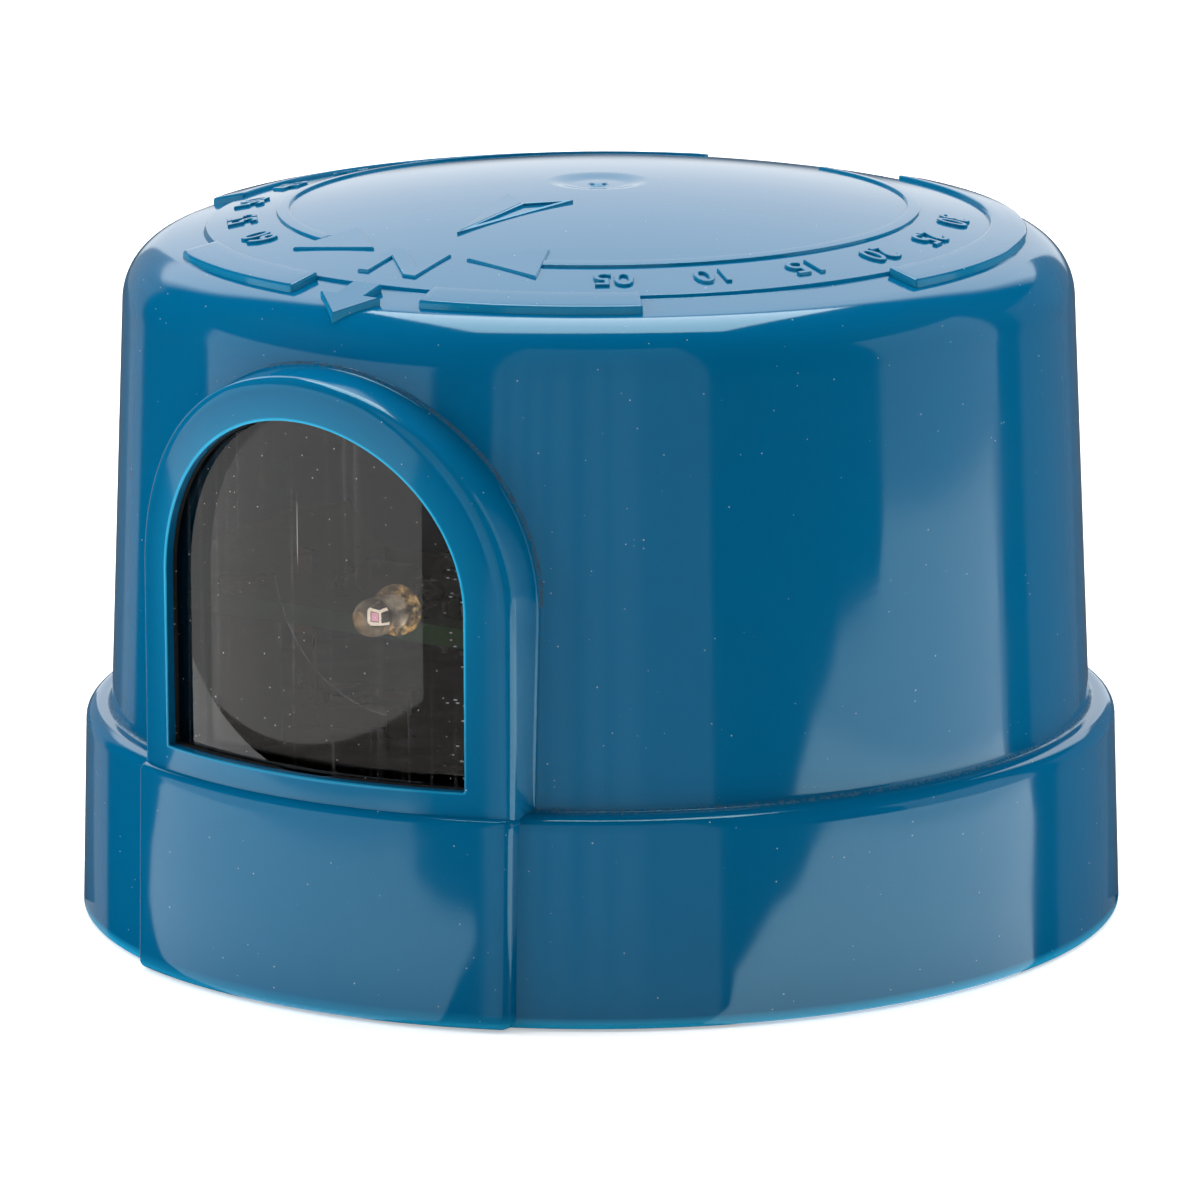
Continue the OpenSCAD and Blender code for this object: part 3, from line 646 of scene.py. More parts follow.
@dataclass(frozen=True)
class GlowPaintedDie(Finish):
    """Plated pad with a small die in its middle and a white square round it, both giving off a painted glow.
    """

    die: str = "#F2B2E2"
    die_mm: float = 0.21
    ring_mm: tuple[float, float] = (0.33, 0.08)

    def marks(self, tree: Tree, place: Socket, colour: Socket, rough: Socket) -> tuple[Socket, Socket]:
        """Draws the die and the square round it by the larger of the distances across and up.

        Args:
            tree: the material's node tree.
            place: Object coordinates.
            colour: colour so far.
            rough: roughness so far.

        Returns:
            The new colour and the same roughness.
        """
        middle = tuple(np.mean(node_span("light_sensor_chip"), axis=0) * MM)
        far = vectors(tree, "ABSOLUTE", vectors(tree, "SUBTRACT", place, middle))
        parts = add(tree, "SeparateXYZ", links={0: far})
        away = maths(tree, "MAXIMUM", parts.outputs[0], parts.outputs[2])
        die = maths(tree, "LESS_THAN", away, self.die_mm * MM)
        ring = maths(tree, "COMPARE", away, self.ring_mm[0] * MM, self.ring_mm[1] * MM)
        shown = blend(tree, die, blend(tree, ring, colour, WHITE), self.die)
        # The die and the white square give off a painted glow.
        bright = maths(tree, "MULTIPLY", maths(tree, "MAXIMUM", die, ring), self.glow)
        tree.links.new(shown, tree.nodes[SHADER].inputs["Emission Color"])
        tree.links.new(bright, tree.nodes[SHADER].inputs["Emission Strength"])
        return shown, rough


@dataclass(frozen=True)
class GlintPaintedEpoxy(Finish):
    """Clear epoxy with glints painted on as spots of glow."""

    # Size and span of the painted glints.
    painted_glint_mm: float = 0.45
    painted_glint_span: tuple[float, float] = (0.48, 0.7)

    def marks(self, tree: Tree, place: Socket, colour: Socket, rough: Socket) -> tuple[Socket, Socket]:
        """Paints glow on the crests of a fine noise, as glints.

        Args:
            tree: the material's node tree.
            place: Object coordinates.
            colour: colour so far.
            rough: roughness so far.

        Returns:
            The same colour and roughness.
        """
        painted_glints = noise(tree, place, 1 / (self.painted_glint_mm * MM), 2.0)
        bright = ramp(tree, painted_glints, *self.painted_glint_span, 0.0, self.glow)
        tree.links.new(bright, tree.nodes[SHADER].inputs["Emission Strength"])
        return colour, rough


@dataclass(frozen=True)
class BandedCoating(Finish):
    """Lacquer with plain value rings round a part that lies along X."""

    ring: str = "#7A3B1E"
    pitch_mm: float = 1.5
    gap: float = 0.72

    def marks(self, tree: Tree, place: Socket, colour: Socket, rough: Socket) -> tuple[Socket, Socket]:
        """Draws the rings as the crests of a wave along X.

        Args:
            tree: the material's node tree.
            place: Object coordinates.
            colour: colour so far.
            rough: roughness so far.

        Returns:
            The new colour and the same roughness.
        """
        waves = {"Scale": math.pi / 10 / (self.pitch_mm * MM), "bands_direction": "X"}
        crest = add(tree, "TexWave", waves, {"Vector": place}).outputs["Fac"]
        return blend(tree, maths(tree, "GREATER_THAN", crest, self.gap), colour, self.ring), rough


# Moulded ABS, dyed through: a deep even blue with a sharp gloss that dust and handling break a little.
# The cover's thin edges get a painted glow and its creases painted shade.
COVER_ABS = PaintedLightPlastic(
    "moulded blue ABS", "cover_plastic", "#00618C", "#005B85", 14.0, 0.09, 0.03, bump_mm=0.001,
    bump_grain_mm=5.0, bump_rise_mm=0.5, dust=0.16, speck_mm=0.15, tint="#D4FBFF")
# Cast smoked acrylic: dark grey in the depth, clear gloss on the face, hazed by wiping.
WINDOW_ACRYLIC = ScratchedAcrylic(
    "smoked acrylic", "window_acrylic", "#9C9895", "#95918E", 8.0, 0.012, 0.006, ior=1.49, dust=0.4,
    speck_mm=0.14, clear=1.0)
# Sponge rubber strip: near black and matt, with pale lint caught in its pores.
SEAL_RUBBER = Finish(
    "black sponge rubber", "seal_rubber", "#121314", "#1D1E1F", 0.7, 0.85, 0.08, bump_mm=0.06,
    bump_grain_mm=0.35, dust=0.75, speck_mm=0.18)
# Glass-filled nylon: matt black with a fine moulded grain.
BASE_NYLON = Finish(
    "moulded black nylon", "base_plastic", "#1B1C1D", "#232425", 3.0, 0.5, 0.1, bump_mm=0.012,
    bump_grain_mm=0.35, dust=0.15, speck_mm=0.18)
# Closed-cell neoprene sponge: soft dark grey with open cells on its cut faces.
GASKET_SPONGE = Finish(
    "neoprene sponge", "gasket_sponge", "#242526", "#333435", 1.2, 0.9, 0.05, bump_mm=0.12, dust=0.2)
# Rolled brass strip: warm yellow with a satin rolled face that has dulled unevenly.
BLADE_BRASS = Finish(
    "rolled brass", "blade_brass", "#C9A55A", "#A98542", 4.0, 0.3, 0.1, bump_mm=0.004, bump_grain_mm=0.3,
    metallic=1.0)
# Glass-epoxy laminate under green solder resist: satin, with the weave's faint mottle.
BOARD_LAMINATE = Finish(
    "green glass-epoxy laminate", "board_laminate", "#52A868", "#5FB473", 0.8, 0.35, 0.08, bump_mm=0.01,
    bump_grain_mm=0.6, dust=0.1, speck_mm=0.15)
# Cast clear epoxy: water clear with a faint warm cast, with glints of painted glow.
SENSOR_EPOXY = GlintPaintedEpoxy(
    "cast clear epoxy", "sensor_epoxy", "#FFF2DC", "#FFE6C0", 1.5, 0.012, 0.006, ior=1.54, clear=0.97,
    glow=0.5, painted_glint_mm=1.1, painted_glint_span=(0.35, 0.8))
# The same epoxy in its thick flange: amber, with small glints of painted glow.
FLANGE_EPOXY = GlintPaintedEpoxy(
    "cast amber epoxy", "sensor_epoxy", "#FFDC98", "#EABC68", 0.9, 0.05, 0.03, ior=1.54, clear=0.9, glow=0.9)
# Passivated silicon on a plated pad: a small pink die in a white square, both with a painted glow, dull brown
# round it.
SENSOR_SILICON = GlowPaintedDie(
    "passivated silicon", "sensor_silicon", "#4A443E", "#3C3732", 0.5, 0.3, 0.05, glow=2.0)
# Silver-plated lead frame, dulled inside the epoxy: warm grey metal.
FRAME_PLATING = Finish(
    "dulled silver plating", "sensor_silicon", "#8A8178", "#776E66", 0.5, 0.4, 0.1, metallic=1.0)
# Tin-plated copper wire: mid grey metal, slightly dulled.
TINNED_WIRE = Finish("tinned copper wire", "tinned_wire", "#9FA09D", "#8A8B88", 1.5, 0.28, 0.1, metallic=1.0)
# Moulded thermoplastic relay case: mid grey-black with a satin face.
RELAY_CASE = Finish(
    "satin black thermoplastic", "relay_case", "#202225", "#2A2C2F", 4.0, 0.45, 0.08, bump_mm=0.01,
    bump_grain_mm=0.4, dust=0.08)
# Potted film capacitor: box of glossy near-black epoxy.
FILM_CASE = Finish("glossy epoxy box", "film_case", "#1D2024", "#25282D", 5.0, 0.3, 0.08, dust=0.08)
# Shrunk vinyl sleeve: dark and glossy over the can.
FILTER_SLEEVE = Finish("shrunk vinyl sleeve", "filter_sleeve", "#1A1E2B", "#222738", 4.0, 0.35, dust=0.08)
# Powder-dipped epoxy: soft-edged blue coat with an orange-peel face.
ARRESTER_COAT = Finish(
    "dipped blue epoxy", "arrester_coating", "#25507F", "#2F5E90", 2.0, 0.4, 0.08, bump_mm=0.03,
    bump_grain_mm=0.9)
# Cement-like flameproof lacquer: matt dark grey with plain value rings.
DROPPER_COAT = BandedCoating(
    "grey flameproof lacquer", "dropper_coating", "#2E3234", "#36393C", 1.5, 0.6, 0.08, bump_mm=0.01,
    ring="#2A201A", pitch_mm=2.6)
# Moulded black epoxy diode body: satin.
DIODE_EPOXY = Finish(
    "moulded black epoxy", "diode_epoxy", "#17181A", "#202123", 1.5, 0.4, 0.08, bump_mm=0.006)
# Glass-sealed diode: orange glass over the copper-coated slugs.
ZENER_GLASS = Finish("orange sealing glass", "zener_glass", "#B5532A", "#8F3E20", 0.9, 0.1, 0.03)
# Resistor lacquer: pale tan with plain value rings.
RESISTOR_COAT = BandedCoating(
    "tan resistor lacquer", "resistor_coating", "#C5A57A", "#B8966A", 1.0, 0.4, 0.08, pitch_mm=1.3)
# Wave-soldered tin alloy: bright, smooth and a little grey.
SOLDER_ALLOY = Finish("tin solder", "solder", "#C3C5C6", "#9FA1A3", 0.9, 0.22, 0.08, metallic=1.0)


def dress(piece: Thing, finish: Finish, *nodes: str) -> Thing:
    """Gives a piece its finish, hangs it on the body and hides the CAD nodes that it stands for.

    Args:
        piece: finished object.
        finish: material that it takes.
        nodes: CAD nodes that it replaces.

    Returns:
        The same object.
    """
    piece.data.materials.clear()
    piece.data.materials.append(finish.build())
    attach(piece, BODY)
    if nodes:
        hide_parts(*nodes)
    log.info("%s: %d faces, %s", piece.name, len(piece.data.polygons), finish.name)
    return piece


def node_span(node: str) -> tuple[Array, Array]:
    """Lowest and highest corners of a CAD node, in millimetres."""
    low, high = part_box(node)
    return np.array(low) / MM, np.array(high) / MM


@dataclass
class CrownMarks:
    """Raised marks on the crown; angles are in degrees from the window, radii and sizes in mm."""

    pad_h: float = 0.6
    pad_w: float = 2.8
    pad_spans: tuple[tuple[float, float], ...] = ((10.0, 39.5), (79.5, 162.0))
    pad_rim: float = 0.22
    mark_h: float = 0.45
    mark_rim: float = 0.08
    arrow_r: float = 25.2
    arrow_w: float = 1.0
    arrow_tip: float = 10.0
    arrow_neck: float = 24.0
    arrow_tail: float = 167.0
    arrow_head_w: float = 6.0
    needle: tuple[float, float, float, float] = (19.8, 10.8, 8.2, 6.2)
    needle_rim: float = 0.26
    north: tuple[float, float, float] = (31.9, 34.2, 36.6)
    north_w: float = 2.6
    north_head_w: float = 5.6
    letter_r: float = 29.4
    letter_h: float = 4.9
    letter_w: float = 5.4
    letter_stroke: float = 1.0
    numeral_r: float = 28.3
    numeral_h: float = 2.4
    type_scale: float = 1.4
    type_half: float = 0.3
    type_ease: float = 0.05
    numeral_spans: tuple[float, ...] = (36.0, 52.0, 68.0, 84.0, 100.0, 116.0)
    numeral_step: int = 5
    sunk: float = 0.5
    # Painted glow on the sides and rounded rims of the raised marks.
    tone: float = 0.28


@dataclass
class WindowFrame:
    """Arched frame round the window opening; sizes in mm, heights from the skirt's rim."""

    opening_half: float = 14.0
    frame_half: float = 17.4
    sill: float = 18.4
    foot: float = 15.3
    spring: float = 32.1
    face_r: float = 42.05
    lip: float = 0.9
    pocket: float = 1.8
    corner: float = 0.2
    inner_round: float = 0.14
    outer_round: float = 0.8
    foot_round: float = 0.35
    inner_flat: float = 0.15
    outer_flat: float = 0.2
    tuck: float = 0.3
    tuck_deep: float = 0.5
    sill_deep: float = 1.2
    back_gap: float = 0.05
    # The painted shade along the frame's foot is strong to the right of this x, over the arch.
    painted_shade_from: float = -4.0
    draft: float = math.tan(math.radians(3))

    def outline(self, half: float, bottom: float) -> Array:
        """Closed arch: sill, rounded corner, side, half circle, side and corner, evenly sampled in each.

        Args:
            half: half the width.
            bottom: height of the sill.

        Returns:
            Points, n by 2, the same number for any size.
        """
        c = self.corner
        across = np.linspace(-half + c, half - c, 48, endpoint=False)
        up = np.linspace(bottom + c, self.spring, 24, endpoint=False)
        sides = np.full(24, half)
        right = arc_points((half - c, bottom + c), c, -90, 0, 7)[:-1]
        arch = arc_points((0, self.spring), half, 0, 180, 121)[:-1]
        down = np.linspace(self.spring, bottom + c, 24, endpoint=False)
        left = arc_points((-half + c, bottom + c), c, 180, 270, 7)[:-1]
        foot = np.stack([across, np.full(48, bottom)], axis=1)
        rise, fall = np.stack([sides, up], axis=1), np.stack([-sides, down], axis=1)
        return np.vstack([foot, right, rise, arch, fall, left])


@dataclass
class CoverMoulding:
    """Blue cover: skirt, wall and crown turned about the axis, window frame, panel and raised marks."""

    shoulder: float = 16.5
    skirt_top_r: float = 41.5
    wall_foot_r: float = 39.45
    wall: float = 2.2
    wall_draft: float = 2.4
    ledge: float = 14.3
    height: float = 58.5
    crown_r: float = 145.0
    edge_r: float = 5.0
    disc_r: float = 31.4
    disc_h: float = 0.25
    gate_r: float = 3.0
    gate_deep: float = 0.3
    gate_slope: float = 2.2
    stub_r: float = 0.75
    stub_h: float = 0.16
    step_w: float = 0.3
    panel_half: float = 17.6
    panel_back_r: float = 41.0
    panel_round: float = 0.7
    panel_lean: float = 0.03
    sink_deep: float = 0.02
    sinks: tuple[tuple[float, float, float, float], ...] = ((-9.0, 10.0, 4.5, 5.0), (10.0, 9.0, 4.0, 4.0))
    cut_room: float = 0.3
    cut_over: float = 5.0
    cut_deep: float = 22.0
    corner_r: tuple[float, ...] = (0.3, 0.3, 0.3, 0.25, 1.3, 0.5)
    # Painted shade at the wall's foot: its extra rows up the wall and how far it reaches.
    painted_shade_rows: tuple[float, ...] = (0.6, 0.9)
    painted_shade_reach: float = 0.5
    # Rows near the rim, and the height over which the rim's painted glow fades.
    rim_rows: tuple[float, ...] = (0.5, 0.9, 1.1)
    painted_glow_height: float = 0.9
    lug_spans: tuple[float, ...] = (45.0, 135.0, 225.0, 315.0)
    lug_angle: float = 16.0
    lug_reach: float = 0.8
    lug_top: float = 11.6
    lug_h: float = 2.0
    lug_slope: float = 0.35
    lug_land: float = 0.4
    lug_steps: int = 13
    turns: int = 288
    window: WindowFrame = field(default_factory=WindowFrame)
    marks: CrownMarks = field(default_factory=CrownMarks)

    def __post_init__(self) -> None:
        """Takes the skirt's radius and the panel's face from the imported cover."""
        low, high = node_span("cover")
        self.skirt_r: float = high[0]
        self.panel_r: float = -low[1]
        self.crown_z: float = self.height - self.disc_h - self.crown_r
        self.edge_centre: tuple[float, float] = self.find_edge_centre()
        self.crown_angle: float = math.degrees(
            math.atan2(self.edge_centre[1] - self.crown_z, self.edge_centre[0]))

    def wall_r(self, z: Array) -> Array:
        """Outer radius of the drafted wall at a height."""
        return self.wall_foot_r - (np.maximum(z, self.shoulder) - self.shoulder) * math.tan(
            math.radians(self.wall_draft))

    def find_edge_centre(self) -> tuple[float, float]:
        """Centre of the crown's edge round: a radius inside the wall's line and inside the crown's sphere.

        Returns:
            Radius and height of the centre.
        """
        lean = math.radians(self.wall_draft)
        reach = self.crown_r - self.edge_r
        side = self.wall_foot_r * math.cos(lean) + self.shoulder * math.sin(lean) - self.edge_r
        # The centre is at reach along some angle from the sphere's middle; its distance along the
        # wall's normal has to equal side.
        along = math.acos((side - self.crown_z * math.sin(lean)) / reach)
        return reach * math.cos(lean + along), self.crown_z + reach * math.sin(lean + along)

    def skin(self, r: Array, lift: Array | float = 0.0) -> Array:
        """Height of the crown, or of its edge round further out, raised by lift along its normal.

        Args:
            r: distance from the axis.
            lift: how far the skin is raised.

        Returns:
            The height at each place.
        """
        centre_r, centre_z = self.edge_centre
        touch = (self.crown_r + lift) * math.cos(math.radians(self.crown_angle))
        dome = self.crown_z + np.sqrt((self.crown_r + lift) ** 2 - np.minimum(r, touch) ** 2)
        out = np.clip(r - centre_r, 0, self.edge_r + lift)
        edge = centre_z + np.sqrt((self.edge_r + lift) ** 2 - out ** 2)
        return np.where(r < touch, dome, edge)

    def top(self, r: Array) -> Array:
        """Height of the finished crown: the dome, its disc and the gate's dimple with the gate's stub."""
        stub = self.stub_h * step_at(r, self.stub_r, self.step_w)
        return (self.skin(r) + self.disc_h * step_at(r, self.disc_r, self.step_w)
                - self.gate_deep * step_at(r, self.gate_r, self.gate_slope) + stub)

    def profile(self) -> Array:
        """Half section of the cover from the hollow's top, round the rim, to the crown's middle.

        Returns:
            Points of radius and height.
        """
        turn = (self.crown_angle, self.wall_draft)
        inner_edge = arc_points(self.edge_centre, self.edge_r - self.wall, *turn, 8)
        inner_crown = arc_points((0, self.crown_z), self.crown_r - self.wall, 90, self.crown_angle, 16)
        outer_edge = arc_points(self.edge_centre, self.edge_r, *turn[::-1], 24)
        inside = self.wall / math.cos(math.radians(self.wall_draft))
        skirt_in = self.skirt_r - self.wall
        slope = (self.skirt_r - self.skirt_top_r) / self.shoulder
        corners = np.array([
            inner_edge[-1], [self.wall_foot_r - inside, self.ledge],
            [skirt_in - slope * self.ledge, self.ledge], [skirt_in, 0], [self.skirt_r, 0],
            [self.skirt_top_r, self.shoulder], [self.wall_foot_r, self.shoulder], outer_edge[0]])
        steps = 9
        lower = rounded_path(corners, np.array(self.corner_r), steps)
        # Extra rows up the wall carry the painted shade at its foot.
        painted_shade_at = self.shoulder + np.array(self.painted_shade_rows)
        lower = np.vstack([lower[:-1], np.stack([self.wall_r(painted_shade_at), painted_shade_at], axis=1), lower[-1:]])
        # Extra rows just above the rim carry its painted glow.
        thin = np.array(self.rim_rows)
        rim_end = 1 + 4 * steps
        lower = np.insert(lower, rim_end, np.stack([self.skirt_r - slope * thin, thin], axis=1), axis=0)
        # Rows crowd where the disc's step, the gate's dimple and its stub turn.
        r = np.concatenate([
            np.linspace(outer_edge[-1][0], self.disc_r + 0.3, 6)[1:],
            np.linspace(self.disc_r + 0.18, self.disc_r - 0.18, 9),
            np.linspace(self.disc_r - 0.4, self.gate_r + 1.3, 40),
            np.linspace(self.gate_r + 1.1, 0.95, 14), np.linspace(0.9, 0.55, 7), [0.3, 0.0]])
        crown = np.stack([r, self.top(r)], axis=1)
        return np.vstack([inner_crown, inner_edge[1:-1], lower, outer_edge[1:], crown])

    def turned(self, profile: Array, turns: int) -> Array:
        """Carries a half section round the axis: x and y are the radius times cosine and sine.

        Args:
            profile: points of radius and height.
            turns: steps of a full turn.

        Returns:
            Points, turns by profile points by 3.
        """
        angle = np.linspace(0, 2 * np.pi, turns, endpoint=False)[:, None]
        r, z = profile[None, :, 0], profile[None, :, 1]
        high = np.broadcast_to(z, (turns, len(profile)))
        return np.stack([r * np.cos(angle), r * np.sin(angle), high], axis=-1)

    def rim_painted_glow(self, z: Array) -> Array:
        """Painted glow near the skirt's lower edge: one at the rim, gone a millimetre above it."""
        return np.clip(1 - z / self.painted_glow_height, 0, 1)

    def foot_painted_shade(self, r: Array, z: Array) -> Array:
        """Painted shade along the wall's foot: most in the corner, gone some way up the wall."""
        away = np.hypot(r - self.wall_foot_r, z - self.shoulder)
        return -0.8 * np.clip(1 - away / self.painted_shade_reach, 0, 1)

    def body(self) -> Thing:
        """Turns the half section and opens it behind the window frame and the skirt panel.

        Returns:
            The open body.
        """
        shells = Shells()
        surface = self.turned(self.profile(), self.turns)
        r, z = np.hypot(surface[..., 0], surface[..., 1]), surface[..., 2]
        # Outside, the tone paints a glow at the skirt's rim and shade at the wall's foot.
        outside = (r > self.skirt_r - self.wall / 2) | (z > self.shoulder)
        tone = np.where(outside, self.rim_painted_glow(z) + self.foot_painted_shade(r, z), 0)
        shells.grid(surface, loop_u=True, tone=tone)
        body = shells.piece("cover_body")
        tool = Shells()
        half = self.window.opening_half + self.window.pocket + self.cut_room
        arch = self.window.outline(half, -self.cut_over)
        front = np.stack([arch[:, 0], np.full(len(arch), -self.panel_r - self.cut_over), arch[:, 1]], axis=1)
        back = front + np.array([0, self.cut_deep, 0])
        tool.grid(np.stack([front, back]), loop_v=True)
        tool.faces += [list(range(len(arch))), list(range(len(arch), 2 * len(arch)))]
        cut_out(body, tool.piece("window_cut"))
        return body

    def add_frame(self, shells: Shells) -> None:
        """Carries the frame's section round the arch, with its face on a cylinder about the axis.

        A point lies at the opening's outline plus an offset towards the frame's outline, and its depth
        puts it at a set radius: y is minus the root of radius squared less x squared. The lip's edge gets
        a painted glow, most in the arch, and painted shade lies along the frame's foot, most of it over the
        arch.

        Args:
            shells: the cover's shells.
        """
        w = self.window
        inner = w.outline(w.opening_half, w.sill)
        outer = w.outline(w.frame_half, w.foot)
        reach = outer - inner
        width = np.linalg.norm(reach, axis=1, keepdims=True)
        turn = np.linspace(0, np.pi / 2, 8)
        wall = self.wall_r(inner[:, 1:] + reach[:, 1:])
        below = inner[:, 1:] < w.sill + w.corner
        deep = w.face_r - wall - w.foot_round
        lean = w.draft * deep
        ones = np.ones_like(width)
        offset = np.hstack([
            0 * ones, w.inner_round * (1 - np.cos(turn)) * ones, (w.inner_round + w.inner_flat) * ones,
            width - w.outer_round - w.outer_flat, width - w.outer_round * (1 - np.sin(turn)),
            width + lean + w.foot_round * (1 - np.cos(turn)), width + lean + w.foot_round + w.tuck,
            w.pocket * ones, w.pocket * ones])
        radius = np.hstack([
            (w.face_r - w.lip) * ones, (w.face_r - w.inner_round * (1 - np.sin(turn))) * ones,
            w.face_r * ones, w.face_r * ones, (w.face_r - w.outer_round * (1 - np.cos(turn))) * ones,
            wall + w.foot_round * (1 - np.sin(turn)), wall - w.tuck_deep,
            np.where(below, w.face_r - w.lip - w.sill_deep, wall - self.wall + w.back_gap),
            (w.face_r - w.lip) * ones])
        flat = inner[:, None] + reach[:, None] / width[:, None] * offset[..., None]
        depth = -np.sqrt(radius ** 2 - flat[..., 0] ** 2)
        surface = np.stack([flat[..., 0], depth, flat[..., 1]], axis=-1)
        lip, face, rim, foot = slice(2, 9), slice(9, 10), slice(11, 19), slice(23, 28)
        thin = np.clip((inner[:, 1:] - w.sill) / (w.spring - w.sill), 0, 1)
        painted_shade_at = (inner[:, 0] > w.painted_shade_from) & (inner[:, 1] > w.spring)
        # Painted glow on the lip, faintly on the face and outer rim; painted shade along the foot, strongest
        # over the arch.
        tone = np.zeros(offset.shape)
        tone[:, lip] = 0.35 + 0.5 * thin
        tone[:, face] = 0.03 + 0.09 * thin
        tone[:, rim] = 0.04
        tone[:, foot] = np.where(painted_shade_at, -0.7, -0.2)[:, None]
        shells.grid(surface, loop_u=True, loop_v=True, tone=tone)

    def add_panel(self, shells: Shells) -> None:
        """Sets the skirt panel before the skirt: a slab with rounded rims, bent round the axis.

        Shallow sinks, each a bell curve in width and height, wave its face as moulding does.

        Args:
            shells: the cover's shells.
        """
        side, side_turn = slab_axis(-self.panel_half, self.panel_half, self.panel_round, 48, 7)
        rise, rise_turn = slab_axis(0.0, self.shoulder, self.panel_round, 24, 7)
        x, z, proud = self.rim_points(side, side_turn, rise, rise_turn, self.panel_round)
        z = np.clip(z, 0, None)
        sink = sum(np.exp(-((x - at) / across) ** 2 - ((z - high) / up) ** 2)
                   for at, high, across, up in self.sinks)
        radius = self.panel_r + proud - self.panel_lean * z - self.sink_deep * sink
        front = np.stack([x, -np.sqrt(radius ** 2 - x ** 2), z], axis=-1)
        back = np.stack([x, -np.sqrt(self.panel_back_r ** 2 - x ** 2), z], axis=-1)
        # Painted glow along the panel's lower edge, as at the skirt's rim.
        shells.slab(front, back, self.rim_painted_glow(z))

    def rim_points(self, u: Array, u_turn: Array, v: Array, v_turn: Array,
                   radius: float) -> tuple[Array, Array, Array]:
        """Points of a slab's face whose rims are rounded by a ball of the given radius.

        The ball's normal at a grid point is (sin a, sin b, cos a cos b), made one long, with a and b
        the rim angles of its two grid lines.

        Args:
            u: flat positions along the first side.
            u_turn: rim angles along it.
            v: flat positions along the second side.
            v_turn: rim angles along it.
            radius: radius of the rims.

        Returns:
            Both positions and the height, which is zero on the flat and negative on the rims.
        """
        a, b = u_turn[:, None], v_turn[None, :]
        ball = np.stack(np.broadcast_arrays(np.sin(a), np.sin(b), np.cos(a) * np.cos(b)), axis=-1)
        ball = ball / np.linalg.norm(ball, axis=-1, keepdims=True)
        along, across = u[:, None] + radius * ball[..., 0], v[None, :] + radius * ball[..., 1]
        return along, across, radius * (ball[..., 2] - 1)

    def add_strip(self, shells: Shells, low: float, high: float, height: float, span: tuple[float, float],
                  rim: float) -> None:
        """Raises a strip of the crown between two radii and two angles, on both sides of the window.

        Args:
            shells: the cover's shells.
            low: inner radius.
            high: outer radius.
            height: height over the dome.
            span: first and last angle from the window, in degrees.
            rim: radius of the rounded rims.
        """
        middle = (low + high) / 2
        run, run_turn = slab_axis(math.radians(span[0]) * middle, math.radians(span[1]) * middle, rim,
                                  max(12, int(span[1] - span[0])))
        across, across_turn = slab_axis(low, high, rim, 4)
        along, r, drop = self.rim_points(run, run_turn, across, across_turn, rim)
        for side in (1, -1):
            angle = side * along / middle
            x, y = r * np.sin(angle), -r * np.cos(angle)
            front = np.stack([x, y, self.skin(r, height + drop)], axis=-1)
            back = np.stack([x, y, self.skin(r, -self.marks.sunk)], axis=-1)
            # Painted glow on the strip's rounded rims.
            shells.slab(front, back, self.marks.tone * np.clip(-drop / rim, 0, 1))

    def on_crown(self, flat: Array, high: Array) -> Array:
        """Puts flat points, with y pointing away from the window, on the crown at heights over its dome."""
        r = np.hypot(flat[..., 0], flat[..., 1])
        return np.stack([flat[..., 0], flat[..., 1], self.skin(r, high)], axis=-1)

    def add_outline(self, shells: Shells, outline: list[tuple[float, float]], height: float) -> None:
        """Raises a flat outline, given with y pointing away from the window, as a mark with eased edges.

        Args:
            shells: the cover's shells.
            outline: corners, counter-clockwise from above.
            height: height over the dome.
        """
        rim = self.marks.mark_rim
        # The sides get a painted glow, the top none.
        shells.prism(np.array(outline), np.array([-self.marks.sunk, height - rim, height]),
                     np.array([0, 0, rim]), self.on_crown, np.array([1, 1, 0]) * self.marks.tone)

    def add_rim(self, shells: Shells, triangle: Array, width: float, height: float) -> None:
        """Raises a rim along a triangle's three sides.

        The rim's inner triangle is the outer one drawn towards the centre of its inner circle, by the
        share that the width has of that circle's radius.

        Args:
            shells: the cover's shells.
            triangle: outer corners, 3 by 2.
            width: width of the rim.
            height: height over the dome.
        """
        far = np.linalg.norm(np.roll(triangle, -1, axis=0) - np.roll(triangle, 1, axis=0), axis=1)
        centre = (far[:, None] * triangle).sum(axis=0) / far.sum()
        a, b = triangle[1] - triangle[0], triangle[2] - triangle[0]
        radius = abs(a[0] * b[1] - a[1] * b[0]) / far.sum()
        inner = centre + (triangle - centre) * (1 - width / radius)
        rings = np.stack([triangle, triangle, inner, inner])
        levels = np.array([-self.marks.sunk, height, height, -self.marks.sunk])[:, None]
        # The rim gets a painted glow all over.
        shells.grid(self.on_crown(rings, np.broadcast_to(levels, (4, 3))), True, True, self.marks.tone)

    def add_numeral(self, shells: Shells, text: str, angle: float) -> None:
        """Raises a plain number in the ring of marks, its foot to the crown's middle.

        Args:
            shells: the cover's shells.
            text: the number.
            angle: place from the window, in degrees.
        """
        m = self.marks
        curve = bpy.data.curves.new("numeral", "FONT")
        curve.body, curve.align_x, curve.align_y = text, "CENTER", "CENTER"
        curve.size, curve.resolution_u = m.numeral_h * m.type_scale, 3
        curve.extrude, curve.bevel_depth, curve.bevel_resolution = m.type_half, m.type_ease, 0
        writer = bpy.data.objects.new("numeral", curve)
        mesh = writer.to_mesh()
        local = np.empty(len(mesh.vertices) * 3)
        mesh.vertices.foreach_get("co", local)
        faces = [[v + shells.count for v in face.vertices] for face in mesh.polygons]
        local = local.reshape(-1, 3)
        writer.to_mesh_clear()
        bpy.data.objects.remove(writer)
        bpy.data.curves.remove(curve)
        turn = math.radians(angle)
        outward = np.array([math.sin(turn), -math.cos(turn)])
        reading = np.array([-math.cos(turn), -math.sin(turn)])
        flat = outward * (m.numeral_r + local[:, 1:2]) + reading * local[:, :1]
        below_top = local[:, 2] < local[:, 2].max() - m.type_ease / 5
        high = local[:, 2] + m.mark_h - m.type_half - m.type_ease
        # All but the number's top face gets a painted glow.
        shells.take(self.on_crown(flat, high), faces, m.tone * below_top)

